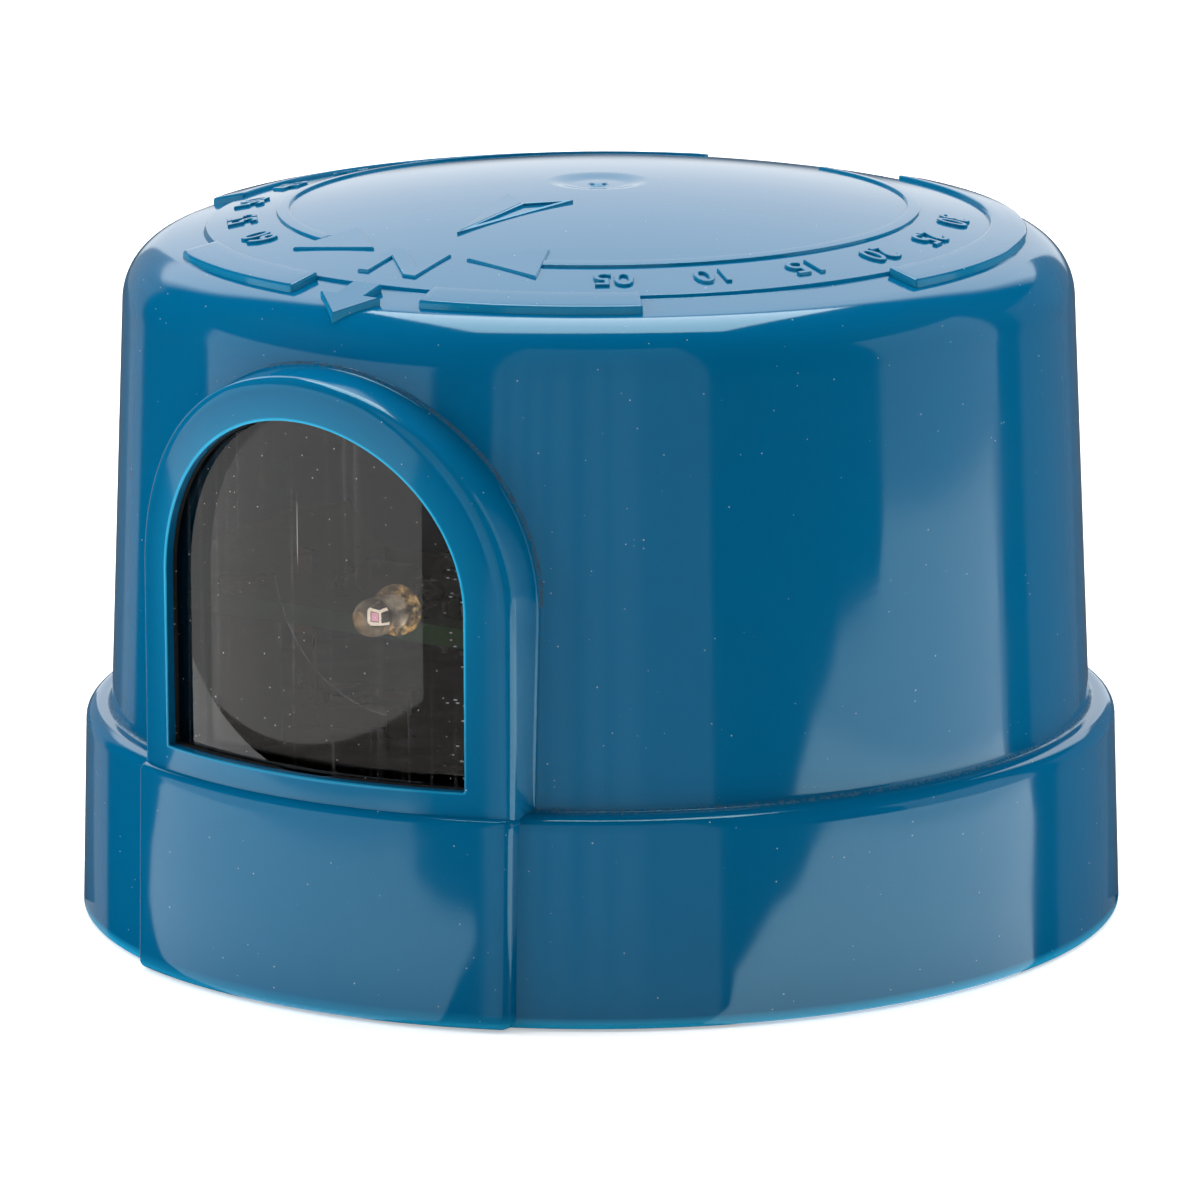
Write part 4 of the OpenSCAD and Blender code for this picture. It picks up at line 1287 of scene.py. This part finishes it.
    def add_marks(self, shells: Shells) -> None:
        """Raises pads, turning arrows, compass needle, north arrow, its letter and the ring of numbers.

        Args:
            shells: the cover's shells.
        """
        m = self.marks
        for span in m.pad_spans:
            self.add_strip(shells, self.disc_r - 0.1, self.disc_r + m.pad_w, m.pad_h, span, m.pad_rim)
        self.add_strip(shells, m.arrow_r - m.arrow_w / 2, m.arrow_r + m.arrow_w / 2, m.mark_h,
                       (m.arrow_neck, m.arrow_tail), m.mark_rim)
        tip, neck = math.radians(m.arrow_tip), math.radians(m.arrow_neck)
        far, near = m.arrow_r + m.arrow_head_w / 2, m.arrow_r - m.arrow_head_w / 2
        head = [(r * math.sin(turn), -r * math.cos(turn))
                for r, turn in ((m.arrow_r, tip), (far, neck), (near, neck))]
        self.add_outline(shells, head, m.mark_h)
        self.add_outline(shells, [(-x, y) for x, y in reversed(head)], m.mark_h)
        point, notch, tail, wide = m.needle
        self.add_outline(shells, [(0, -point), (0, -notch), (-wide / 2, -tail)], m.mark_h)
        hollow = np.array([(0, -point), (wide / 2, -tail), (0, -notch)])
        self.add_rim(shells, hollow, m.needle_rim, m.mark_h)
        root, neck_at, end = m.north
        stem, barb = m.north_w / 2, m.north_head_w / 2
        self.add_outline(shells, [(-stem, -root), (-stem, -neck_at), (-barb, -neck_at), (0, -end),
                                  (barb, -neck_at), (stem, -neck_at), (stem, -root)], m.pad_h)
        half, tall, stroke = m.letter_w / 2, m.letter_h, m.letter_stroke
        slant = [(-half, 0), (-half + stroke, 0), (-half + stroke, tall - 1.7 * stroke),
                 (half - 1.2 * stroke, 0), (half, 0)]
        letter = slant + [(-x, tall - y) for x, y in slant]
        self.add_outline(shells, [(x, y - m.letter_r) for x, y in letter], m.mark_h)
        for number, angle in enumerate(m.numeral_spans + tuple(-a for a in reversed(m.numeral_spans)), 1):
            self.add_numeral(shells, f"{number * m.numeral_step:02d}", angle)

    def add_lugs(self, shells: Shells) -> None:
        """Adds the lugs that hold the base: a wedge section carried round part of the skirt's inside.

        Args:
            shells: the cover's shells.
        """
        bore = self.skirt_r - self.wall - self.lug_slope
        root, tip, foot = bore + 1, bore - self.lug_reach, self.lug_top - self.lug_h
        section = np.array([[root, self.lug_top], [tip, self.lug_top], [tip, self.lug_top - self.lug_land],
                            [bore, foot], [root, foot]])
        corners, steps = len(section), self.lug_steps
        for place in self.lug_spans:
            angle = np.radians(place + np.linspace(-0.5, 0.5, steps) * self.lug_angle)[:, None]
            surface = np.stack([section[:, 0] * np.cos(angle), section[:, 0] * np.sin(angle),
                                np.broadcast_to(section[:, 1], (steps, corners))], axis=-1)
            start = shells.count
            shells.grid(surface, loop_v=True)
            end = start + (steps - 1) * corners
            shells.faces += [list(range(first, first + corners)) for first in (start, end)]

    def build(self) -> Thing:
        """Builds the whole cover as one piece and dresses it.

        Returns:
            The cover.
        """
        shells = Shells()
        self.add_frame(shells)
        self.add_panel(shells)
        self.add_marks(shells)
        self.add_lugs(shells)
        fittings = shells.piece("cover_fittings")
        body = self.body()
        joined = bmesh.new()
        joined.from_mesh(body.data)
        joined.from_mesh(fittings.data)
        joined.to_mesh(body.data)
        joined.free()
        bpy.data.objects.remove(fittings)
        shade(body.data)
        body.name = body.data.name = "cover_moulding"
        return dress(body, COVER_ABS, "cover")


@dataclass
class WindowUnit:
    """Smoked pane behind the frame's lip, with the sponge seal round it; sizes in mm."""

    face_r: float = 40.75
    back_r: float = 38.65
    spring: float = 32.1

    def pane(self) -> Thing:
        """Bends the arched sheet round the axis.

        Across the pane x runs on a cosine, and each column goes from the foot to the arch's height there.

        Returns:
            The pane.
        """
        low, high = node_span("window_pane")
        half = (high[0] - low[0]) / 2
        x = -half * np.cos(np.linspace(0, np.pi, 97))[:, None]
        crest = self.spring + np.sqrt(np.maximum(half ** 2 - x ** 2, 0))
        z = low[2] + np.linspace(0, 1, 41)[None] * (crest - low[2])
        x = np.broadcast_to(x, z.shape)
        shells = Shells()
        shells.slab(*(np.stack([x, -np.sqrt(r ** 2 - x ** 2), z], axis=-1)
                      for r in (self.face_r, self.back_r)))
        return shells.piece("window_sheet")

    def build(self) -> None:
        """Builds and dresses the pane and its seal."""
        dress(self.pane(), WINDOW_ACRYLIC, "window_pane")
        dress(node_copy("window_seal"), SEAL_RUBBER, "window_seal")


@dataclass
class LightSensor:
    """Clear lens that looks out of the window, with its flange, die, pad and leads; sizes in mm."""

    lens_d: float = 3.0
    flange_d: float = 4.0
    flange_t: float = 1.0
    joint: float = 0.02
    die_r: float = 0.5
    die_deep: float = 0.2
    turns: int = 48

    def turned(self, name: str, section: Array) -> Thing:
        """Turns a half section of radius and depth about the lens's axis, which points at the window.

        Args:
            name: name of the piece.
            section: points of radius and depth, from the axis back to the axis.

        Returns:
            The piece.
        """
        low, high = node_span("light_sensor")
        angle = np.linspace(0, 2 * np.pi, self.turns, endpoint=False)[:, None]
        deep = np.broadcast_to(section[:, 1], (self.turns, len(section)))
        surface = np.stack([section[:, 0] * np.cos(angle), deep,
                            (low[2] + high[2]) / 2 + section[:, 0] * np.sin(angle)], axis=-1)
        shells = Shells()
        shells.grid(surface, loop_u=True)
        return shells.piece(name)

    def build(self) -> None:
        """Builds and dresses the sensor: a ball on a straight barrel, flange, die post, pad and leads."""
        low, high = node_span("light_sensor")
        r, tip, back = self.lens_d / 2, low[1], high[1]
        step = back - self.flange_t
        ball = np.radians(np.linspace(0, 90, 16))
        nose = np.stack([r * np.sin(ball), tip + r * (1 - np.cos(ball))], axis=1)
        barrel = rounded_path(np.array([nose[-1], [r, step], [0, step]]), np.array([0.1]), 5)
        flange = rounded_path(np.array([[0, step + self.joint], [self.flange_d / 2, step + self.joint],
                                        [self.flange_d / 2, back], [0, back]]), np.array([0.15, 0.15]), 5)
        dress(self.turned("sensor_lens", np.vstack([nose, barrel[1:]])), SENSOR_EPOXY, "light_sensor")
        dress(self.turned("sensor_flange", flange), FLANGE_EPOXY, "light_sensor")
        seat, face = node_span("light_sensor_chip")[0][1], tip + r + self.die_deep
        foot = seat + self.joint
        post = rounded_path(np.array([[0, foot], [self.die_r, foot], [self.die_r, face], [0, face]]),
                            np.array([0.02, 0.05]), 4)
        dress(self.turned("sensor_die", post), SENSOR_SILICON)
        dress(node_copy("light_sensor_chip"), FRAME_PLATING, "light_sensor_chip")
        dress(node_copy("light_sensor_leads"), TINNED_WIRE, "light_sensor_leads")


@dataclass
class BoardUnit:
    """Circuit board and what stands on it: each part keeps its CAD form, smooth shaded with eased edges."""

    bevel: float = 0.15
    parts: tuple[tuple[str, Finish], ...] = (
        ("relay", RELAY_CASE), ("film_capacitor", FILM_CASE), ("filter_capacitor", FILTER_SLEEVE),
        ("surge_arrester", ARRESTER_COAT), ("dropper_resistor", DROPPER_COAT),
        ("rectifier_diodes", DIODE_EPOXY), ("zener_diode", ZENER_GLASS), ("bias_resistors", RESISTOR_COAT),
        ("switching_transistor", DIODE_EPOXY))
    wires: tuple[str, ...] = (
        "relay_pins", "film_capacitor_leads", "filter_capacitor_leads", "surge_arrester_leads",
        "dropper_resistor_leads", "rectifier_diode_leads", "zener_diode_leads", "bias_resistor_leads",
        "switching_transistor_leads")

    def build(self) -> None:
        """Copies and dresses the board, its parts, their leads and the solder."""
        dress(node_copy("circuit_board"), BOARD_LAMINATE, "circuit_board")
        for node, finish in self.parts:
            dress(node_copy(node, self.bevel), finish, node)
        for node in self.wires:
            dress(node_copy(node), TINNED_WIRE, node)
        dress(node_copy("solder_joints"), SOLDER_ALLOY, "solder_joints")


@dataclass
class PlugBase:
    """Underside: base disc, sponge gasket and the three twist-lock blades with their rivets."""

    bevel: float = 0.25
    blades: tuple[str, ...] = ("line_blade", "load_blade", "neutral_blade", "blade_rivets")

    def build(self) -> None:
        """Copies and dresses the base, its gasket, the blades and their rivets."""
        dress(node_copy("base", self.bevel), BASE_NYLON, "base")
        dress(node_copy("gasket", self.bevel), GASKET_SPONGE, "gasket")
        for node in self.blades:
            dress(node_copy(node, self.bevel / 2), BLADE_BRASS, node)


class Side(Enum):
    """Where a softbox stands, as degrees round from the camera, to the right of it being positive."""

    LEFT = -88.0
    RIGHT = 102.0
    BEHIND = 180.0


@dataclass(frozen=True)
class SoftBox:
    """A soft studio lamp that faces the object.

    Attributes:
        side: where it stands.
        away: distance from the object's axis in metres.
        lift: height of its middle in metres.
        width: width of its face in metres.
        height: height of its face in metres.
        face: brightness of its face, where 1 is white.
        mirrored: whether gloss shows it.
    """

    side: Side
    away: float
    lift: float
    width: float
    height: float
    face: float
    mirrored: bool = True


@dataclass(frozen=True)
class Sheet:
    """A pale sheet bent round the object, which only its gloss shows.

    Attributes:
        start: its left edge, in degrees round from the camera.
        stop: its right edge.
        low: height of its lower edge in metres.
        high: height of its upper edge.
        face: brightness of its face, where 1 is white.
        bow: how far its lower edge rises towards both ends.
    """

    start: float
    stop: float
    low: float
    high: float
    face: float
    bow: float = 0.0


@dataclass(frozen=True)
class Card:
    """A flat card on the floor, which only gloss shows.

    Attributes:
        tone: its colour, sRGB hex.
        lift: brightness added where it is seen, where 1 is white.
        corners: how far each corner lies to the camera's right and towards the camera, in metres.
    """

    tone: str
    lift: float
    corners: tuple[tuple[float, float], ...]


@dataclass
class Studio:
    """Camera, softboxes, sheets, floor, cards and surroundings; lengths in metres, angles in degrees."""

    azimuth: float = 33.8
    elevation: float = 12.849
    distance: float = 0.68
    aim_z: float = 0.02415
    roll: float = -0.0044
    lens: float = 252.86
    floor_half: float = 3.0
    floor_z: float = -0.0002
    floor_tone: str = "#FAFAFA"
    floor_lift: float = 0.42
    boxes: tuple[SoftBox, ...] = (
        SoftBox(Side.LEFT, 0.9, 0.5, 0.8, 0.8, 3.5, False),
        SoftBox(Side.RIGHT, 0.9, 0.5, 0.8, 0.8, 2.7, False),
        SoftBox(Side.BEHIND, 0.39, 1.24, 0.8, 0.92, 6.6))
    sheet_away: float = 0.8
    sheet_steps: int = 33
    sheets: tuple[Sheet, ...] = (
        Sheet(-165.0, -139.0, -0.3, 0.3, 0.3), Sheet(-104.8, -38.9, -0.168, 0.245, 1.08, 0.010),
        Sheet(-24.1, 25.0, -0.1, 1.2, 0.4), Sheet(-24.1, 25.0, -0.2, -0.1, 0.62),
        Sheet(68.5, 107.6, -0.2, 0.545, 0.74), Sheet(118.0, 160.0, -0.3, 0.3, 0.16))
    cards: tuple[Card, ...] = (
        Card("#F4F4F4", 0.5, (
            (-0.041, 0.024), (-0.060, 0.014), (-0.078, 0.007), (-0.140, -0.006), (-0.112, 0.030),
            (-0.094, 0.052), (-0.075, 0.075), (-0.066, 0.086), (-0.054, 0.098), (-0.058, 0.086),
            (-0.039, 0.080), (-0.030, 0.081), (-0.025, 0.073), (-0.021, 0.059), (-0.017, 0.050),
            (-0.013, 0.042))),
        Card("#F4F4F4", 1.4, (
            (0.008, 0.042), (0.013, 0.047), (0.021, 0.060), (0.033, 0.072), (0.047, 0.084), (0.068, 0.094),
            (0.094, 0.112), (0.124, 0.126), (0.124, -0.006), (0.098, 0.000), (0.064, 0.014), (0.036, 0.024))),
        Card("#F4F4F4", 0.55, (
            (0.124, 0.126), (0.168, 0.136), (0.190, 0.143), (0.232, 0.116), (0.300, 0.130), (0.300, -0.060),
            (0.180, -0.024), (0.124, -0.006))),
        Card("#4A4A4A", 0.0, (
            (-0.044, 0.004), (-0.160, -0.250), (-0.300, -0.600), (0.300, -0.600), (0.160, -0.250),
            (0.044, 0.004), (0.000, -0.044))))
    fill: float = 0.32
    horizon_face: float = 1.2
    upper_face: float = 2.2
    backdrop_half: tuple[float, float] = (0.56, 0.46)
    backdrop_rise: tuple[float, float] = (0.98, 0.72)
    backdrop_end: tuple[float, float] = (0.62, 0.7)
    backdrop_foot: tuple[float, float] = (-0.08, 0.0)

    def towards(self, azimuth: float, elevation: float = 0.0) -> Vector:
        """Unit direction from the object at an azimuth, 0 being the window's side, and an elevation."""
        a, e = math.radians(azimuth), math.radians(elevation)
        return Vector((math.sin(a) * math.cos(e), -math.cos(a) * math.cos(e), math.sin(e)))

    def camera(self) -> None:
        """Sets the camera at the photograph's angle, with its slight roll."""
        back = self.towards(self.azimuth, self.elevation)
        right = Vector((0, 0, 1)).cross(back).normalized()
        up = back.cross(right)
        level = (right + up * self.roll).normalized()
        upright = back.cross(level)
        data = bpy.data.cameras.new("camera")
        data.lens, data.sensor_width, data.clip_end = self.lens, 36.0, 20.0
        eye = bpy.data.objects.new("camera", data)
        eye.matrix_world = Matrix.Translation(Vector((0, 0, self.aim_z)) + back * self.distance) @ Matrix(
            (level, upright, back)).transposed().to_4x4()
        bpy.context.scene.collection.objects.link(eye)
        bpy.context.scene.camera = eye

    def lamp(self, box: SoftBox) -> None:
        """Adds a softbox as an area lamp that the picture itself doesn't show.

        Args:
            box: the softbox.
        """
        name = "softbox_" + box.side.name.lower()
        data = bpy.data.lights.new(name, "AREA")
        data.shape, data.size, data.size_y = "RECTANGLE", box.width, box.height
        data.energy = box.face * math.pi * box.width * box.height
        thing = bpy.data.objects.new(name, data)
        thing.location = self.towards(self.azimuth + box.side.value) * box.away + Vector((0, 0, box.lift))
        thing.rotation_mode = "QUATERNION"
        thing.rotation_quaternion = (-thing.location).to_track_quat("-Z", "Y")
        thing.visible_camera = False
        thing.visible_glossy = box.mirrored
        bpy.context.scene.collection.objects.link(thing)

    def set_up(self, shells: Shells, name: str, paint: Paint, mirrored_only: bool = True) -> None:
        """Args:
            shells: its shape.
            name: its name.
            paint: its material.
            mirrored_only: whether gloss alone shows it; else gloss is what doesn't show it.
        """
        thing = shells.piece(name)
        thing.data.materials.append(paint)
        if mirrored_only:
            thing.visible_camera = thing.visible_diffuse = thing.visible_shadow = False
        else:
            thing.visible_glossy = False

    def stand_sheets(self) -> None:
        """Stands the sheets round the object: each is a part of a cylinder, lit by itself for gloss alone."""
        paint, tree, shader = start_material("lit white sheet", {
            "Base Color": linear("#000000"), "Specular IOR Level": 0.0, "Emission Color": linear(WHITE)})
        paint.cycles.emission_sampling = "NONE"
        face = add(tree, "Attribute", {"attribute_name": TONE})
        tree.links.new(face.outputs["Fac"], shader.inputs["Emission Strength"])
        steps = self.sheet_steps
        shells = Shells()
        for sheet in self.sheets:
            turn = np.radians(self.azimuth + np.linspace(sheet.start, sheet.stop, steps))[:, None]
            across = np.broadcast_to(self.sheet_away * np.sin(turn), (steps, 2))
            near = np.broadcast_to(-self.sheet_away * np.cos(turn), (steps, 2))
            low = sheet.low + sheet.bow * np.linspace(-1, 1, steps) ** 2
            high = np.stack([low, np.full(steps, sheet.high)], axis=1)
            shells.grid(np.stack([across, near, high], axis=-1) / MM, tone=sheet.face)
        self.set_up(shells, "white_sheets", paint)

    def matt_paint(self, name: str, tone: str, lift: float) -> Paint:
        """Matt paint, lifted towards the picture's white where it is seen rather than lit by.

        Args:
            name: name of the material.
            tone: its colour, sRGB hex.
            lift: how much is added, where 1 is white.

        Returns:
            The material.
        """
        paint, tree, shader = start_material(name, {
            "Base Color": linear(tone), "Roughness": 1.0, "Specular IOR Level": 0.0,
            "Emission Color": linear(WHITE)})
        path = add(tree, "LightPath").outputs
        seen = maths(tree, "MAXIMUM", path["Is Camera Ray"], path["Is Glossy Ray"])
        shown = maths(tree, "MAXIMUM", seen, path["Is Transmission Ray"])
        tree.links.new(maths(tree, "MULTIPLY", shown, lift), shader.inputs["Emission Strength"])
        return paint

    def floor(self) -> None:
        """Lays a plain white floor, and on it the cards that the cover's sides mirror.

        The wall's gloss mirrors what lies low in front of it. In the photograph that is dark but for a
        white part at either side, so the floor itself isn't mirrored. A dim card lies behind the object.
        """
        half = self.floor_half
        x, y = np.meshgrid([-half, half], [-half, half], indexing="ij")
        sheet = Shells()
        sheet.grid(np.stack([x, y, np.full_like(x, self.floor_z)], axis=-1) / MM)
        paint = self.matt_paint("matt white floor", self.floor_tone, self.floor_lift)
        self.set_up(sheet, "floor", paint, mirrored_only=False)
        axes = np.array([self.towards(self.azimuth + 90), self.towards(self.azimuth)])
        for number, card in enumerate(self.cards):
            flat = np.array(card.corners) @ axes
            board = Shells()
            board.take(flat / MM, [list(range(len(flat)))])
            paint = self.matt_paint(f"matt card {number}", card.tone, card.lift)
            self.set_up(board, f"white_card_{number}", paint)

    def surroundings(self) -> None:
        """Lights the studio: an even fill, white to the eye, and for gloss a backdrop that brightens upward.

        The backdrop stands behind the object. Its brightness rises as the ray turns away from straight
        behind, and it ends at its sides, above and below the horizon.
        """
        world = bpy.data.worlds.new("studio")
        bpy.context.scene.world = world
        world.use_nodes = True
        tree = world.node_tree
        shader = tree.nodes["Background"]
        shader.inputs["Color"].default_value = linear(WHITE)
        path = add(tree, "LightPath").outputs
        ray = add(tree, "TexCoord").outputs["Generated"]
        facing = vectors(tree, "DOT_PRODUCT", ray, -self.towards(self.azimuth))
        aside = maths(tree, "ABSOLUTE", vectors(tree, "DOT_PRODUCT", ray, self.towards(self.azimuth + 90)))
        height = add(tree, "SeparateXYZ", links={0: ray}).outputs[2]
        gloss = ramp(tree, facing, *self.backdrop_rise, self.horizon_face, self.upper_face)
        ends = ((facing, self.backdrop_end), (aside, self.backdrop_half), (height, self.backdrop_foot))
        for value, span in ends:
            gloss = maths(tree, "MULTIPLY", gloss, ramp(tree, value, *span))
        soft = add(tree, "Mix", {2: self.fill}, {0: path["Is Glossy Ray"], 3: gloss}).outputs[0]
        depth = {0: path["Is Transmission Ray"], 1: path["Diffuse Depth"]}
        through = add(tree, "Math", {"operation": "SUBTRACT", "use_clamp": True}, depth).outputs[0]
        seen = maths(tree, "MAXIMUM", path["Is Camera Ray"], through)
        tree.links.new(maths(tree, "MAXIMUM", soft, seen), shader.inputs["Strength"])

    def build(self) -> None:
        """Sets up the camera, lamps, floor, sheets and surroundings."""
        self.camera()
        for box in self.boxes:
            self.lamp(box)
        self.floor()
        self.stand_sheets()
        self.surroundings()
        bpy.context.scene.view_settings.view_transform = "Standard"


def main() -> None:
    logging.basicConfig(level=logging.INFO, format="%(message)s")
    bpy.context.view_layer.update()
    CoverMoulding().build()
    WindowUnit().build()
    LightSensor().build()
    BoardUnit().build()
    PlugBase().build()
    Studio().build()
    bpy.context.view_layer.update()


if __name__ == "__main__":
    main()
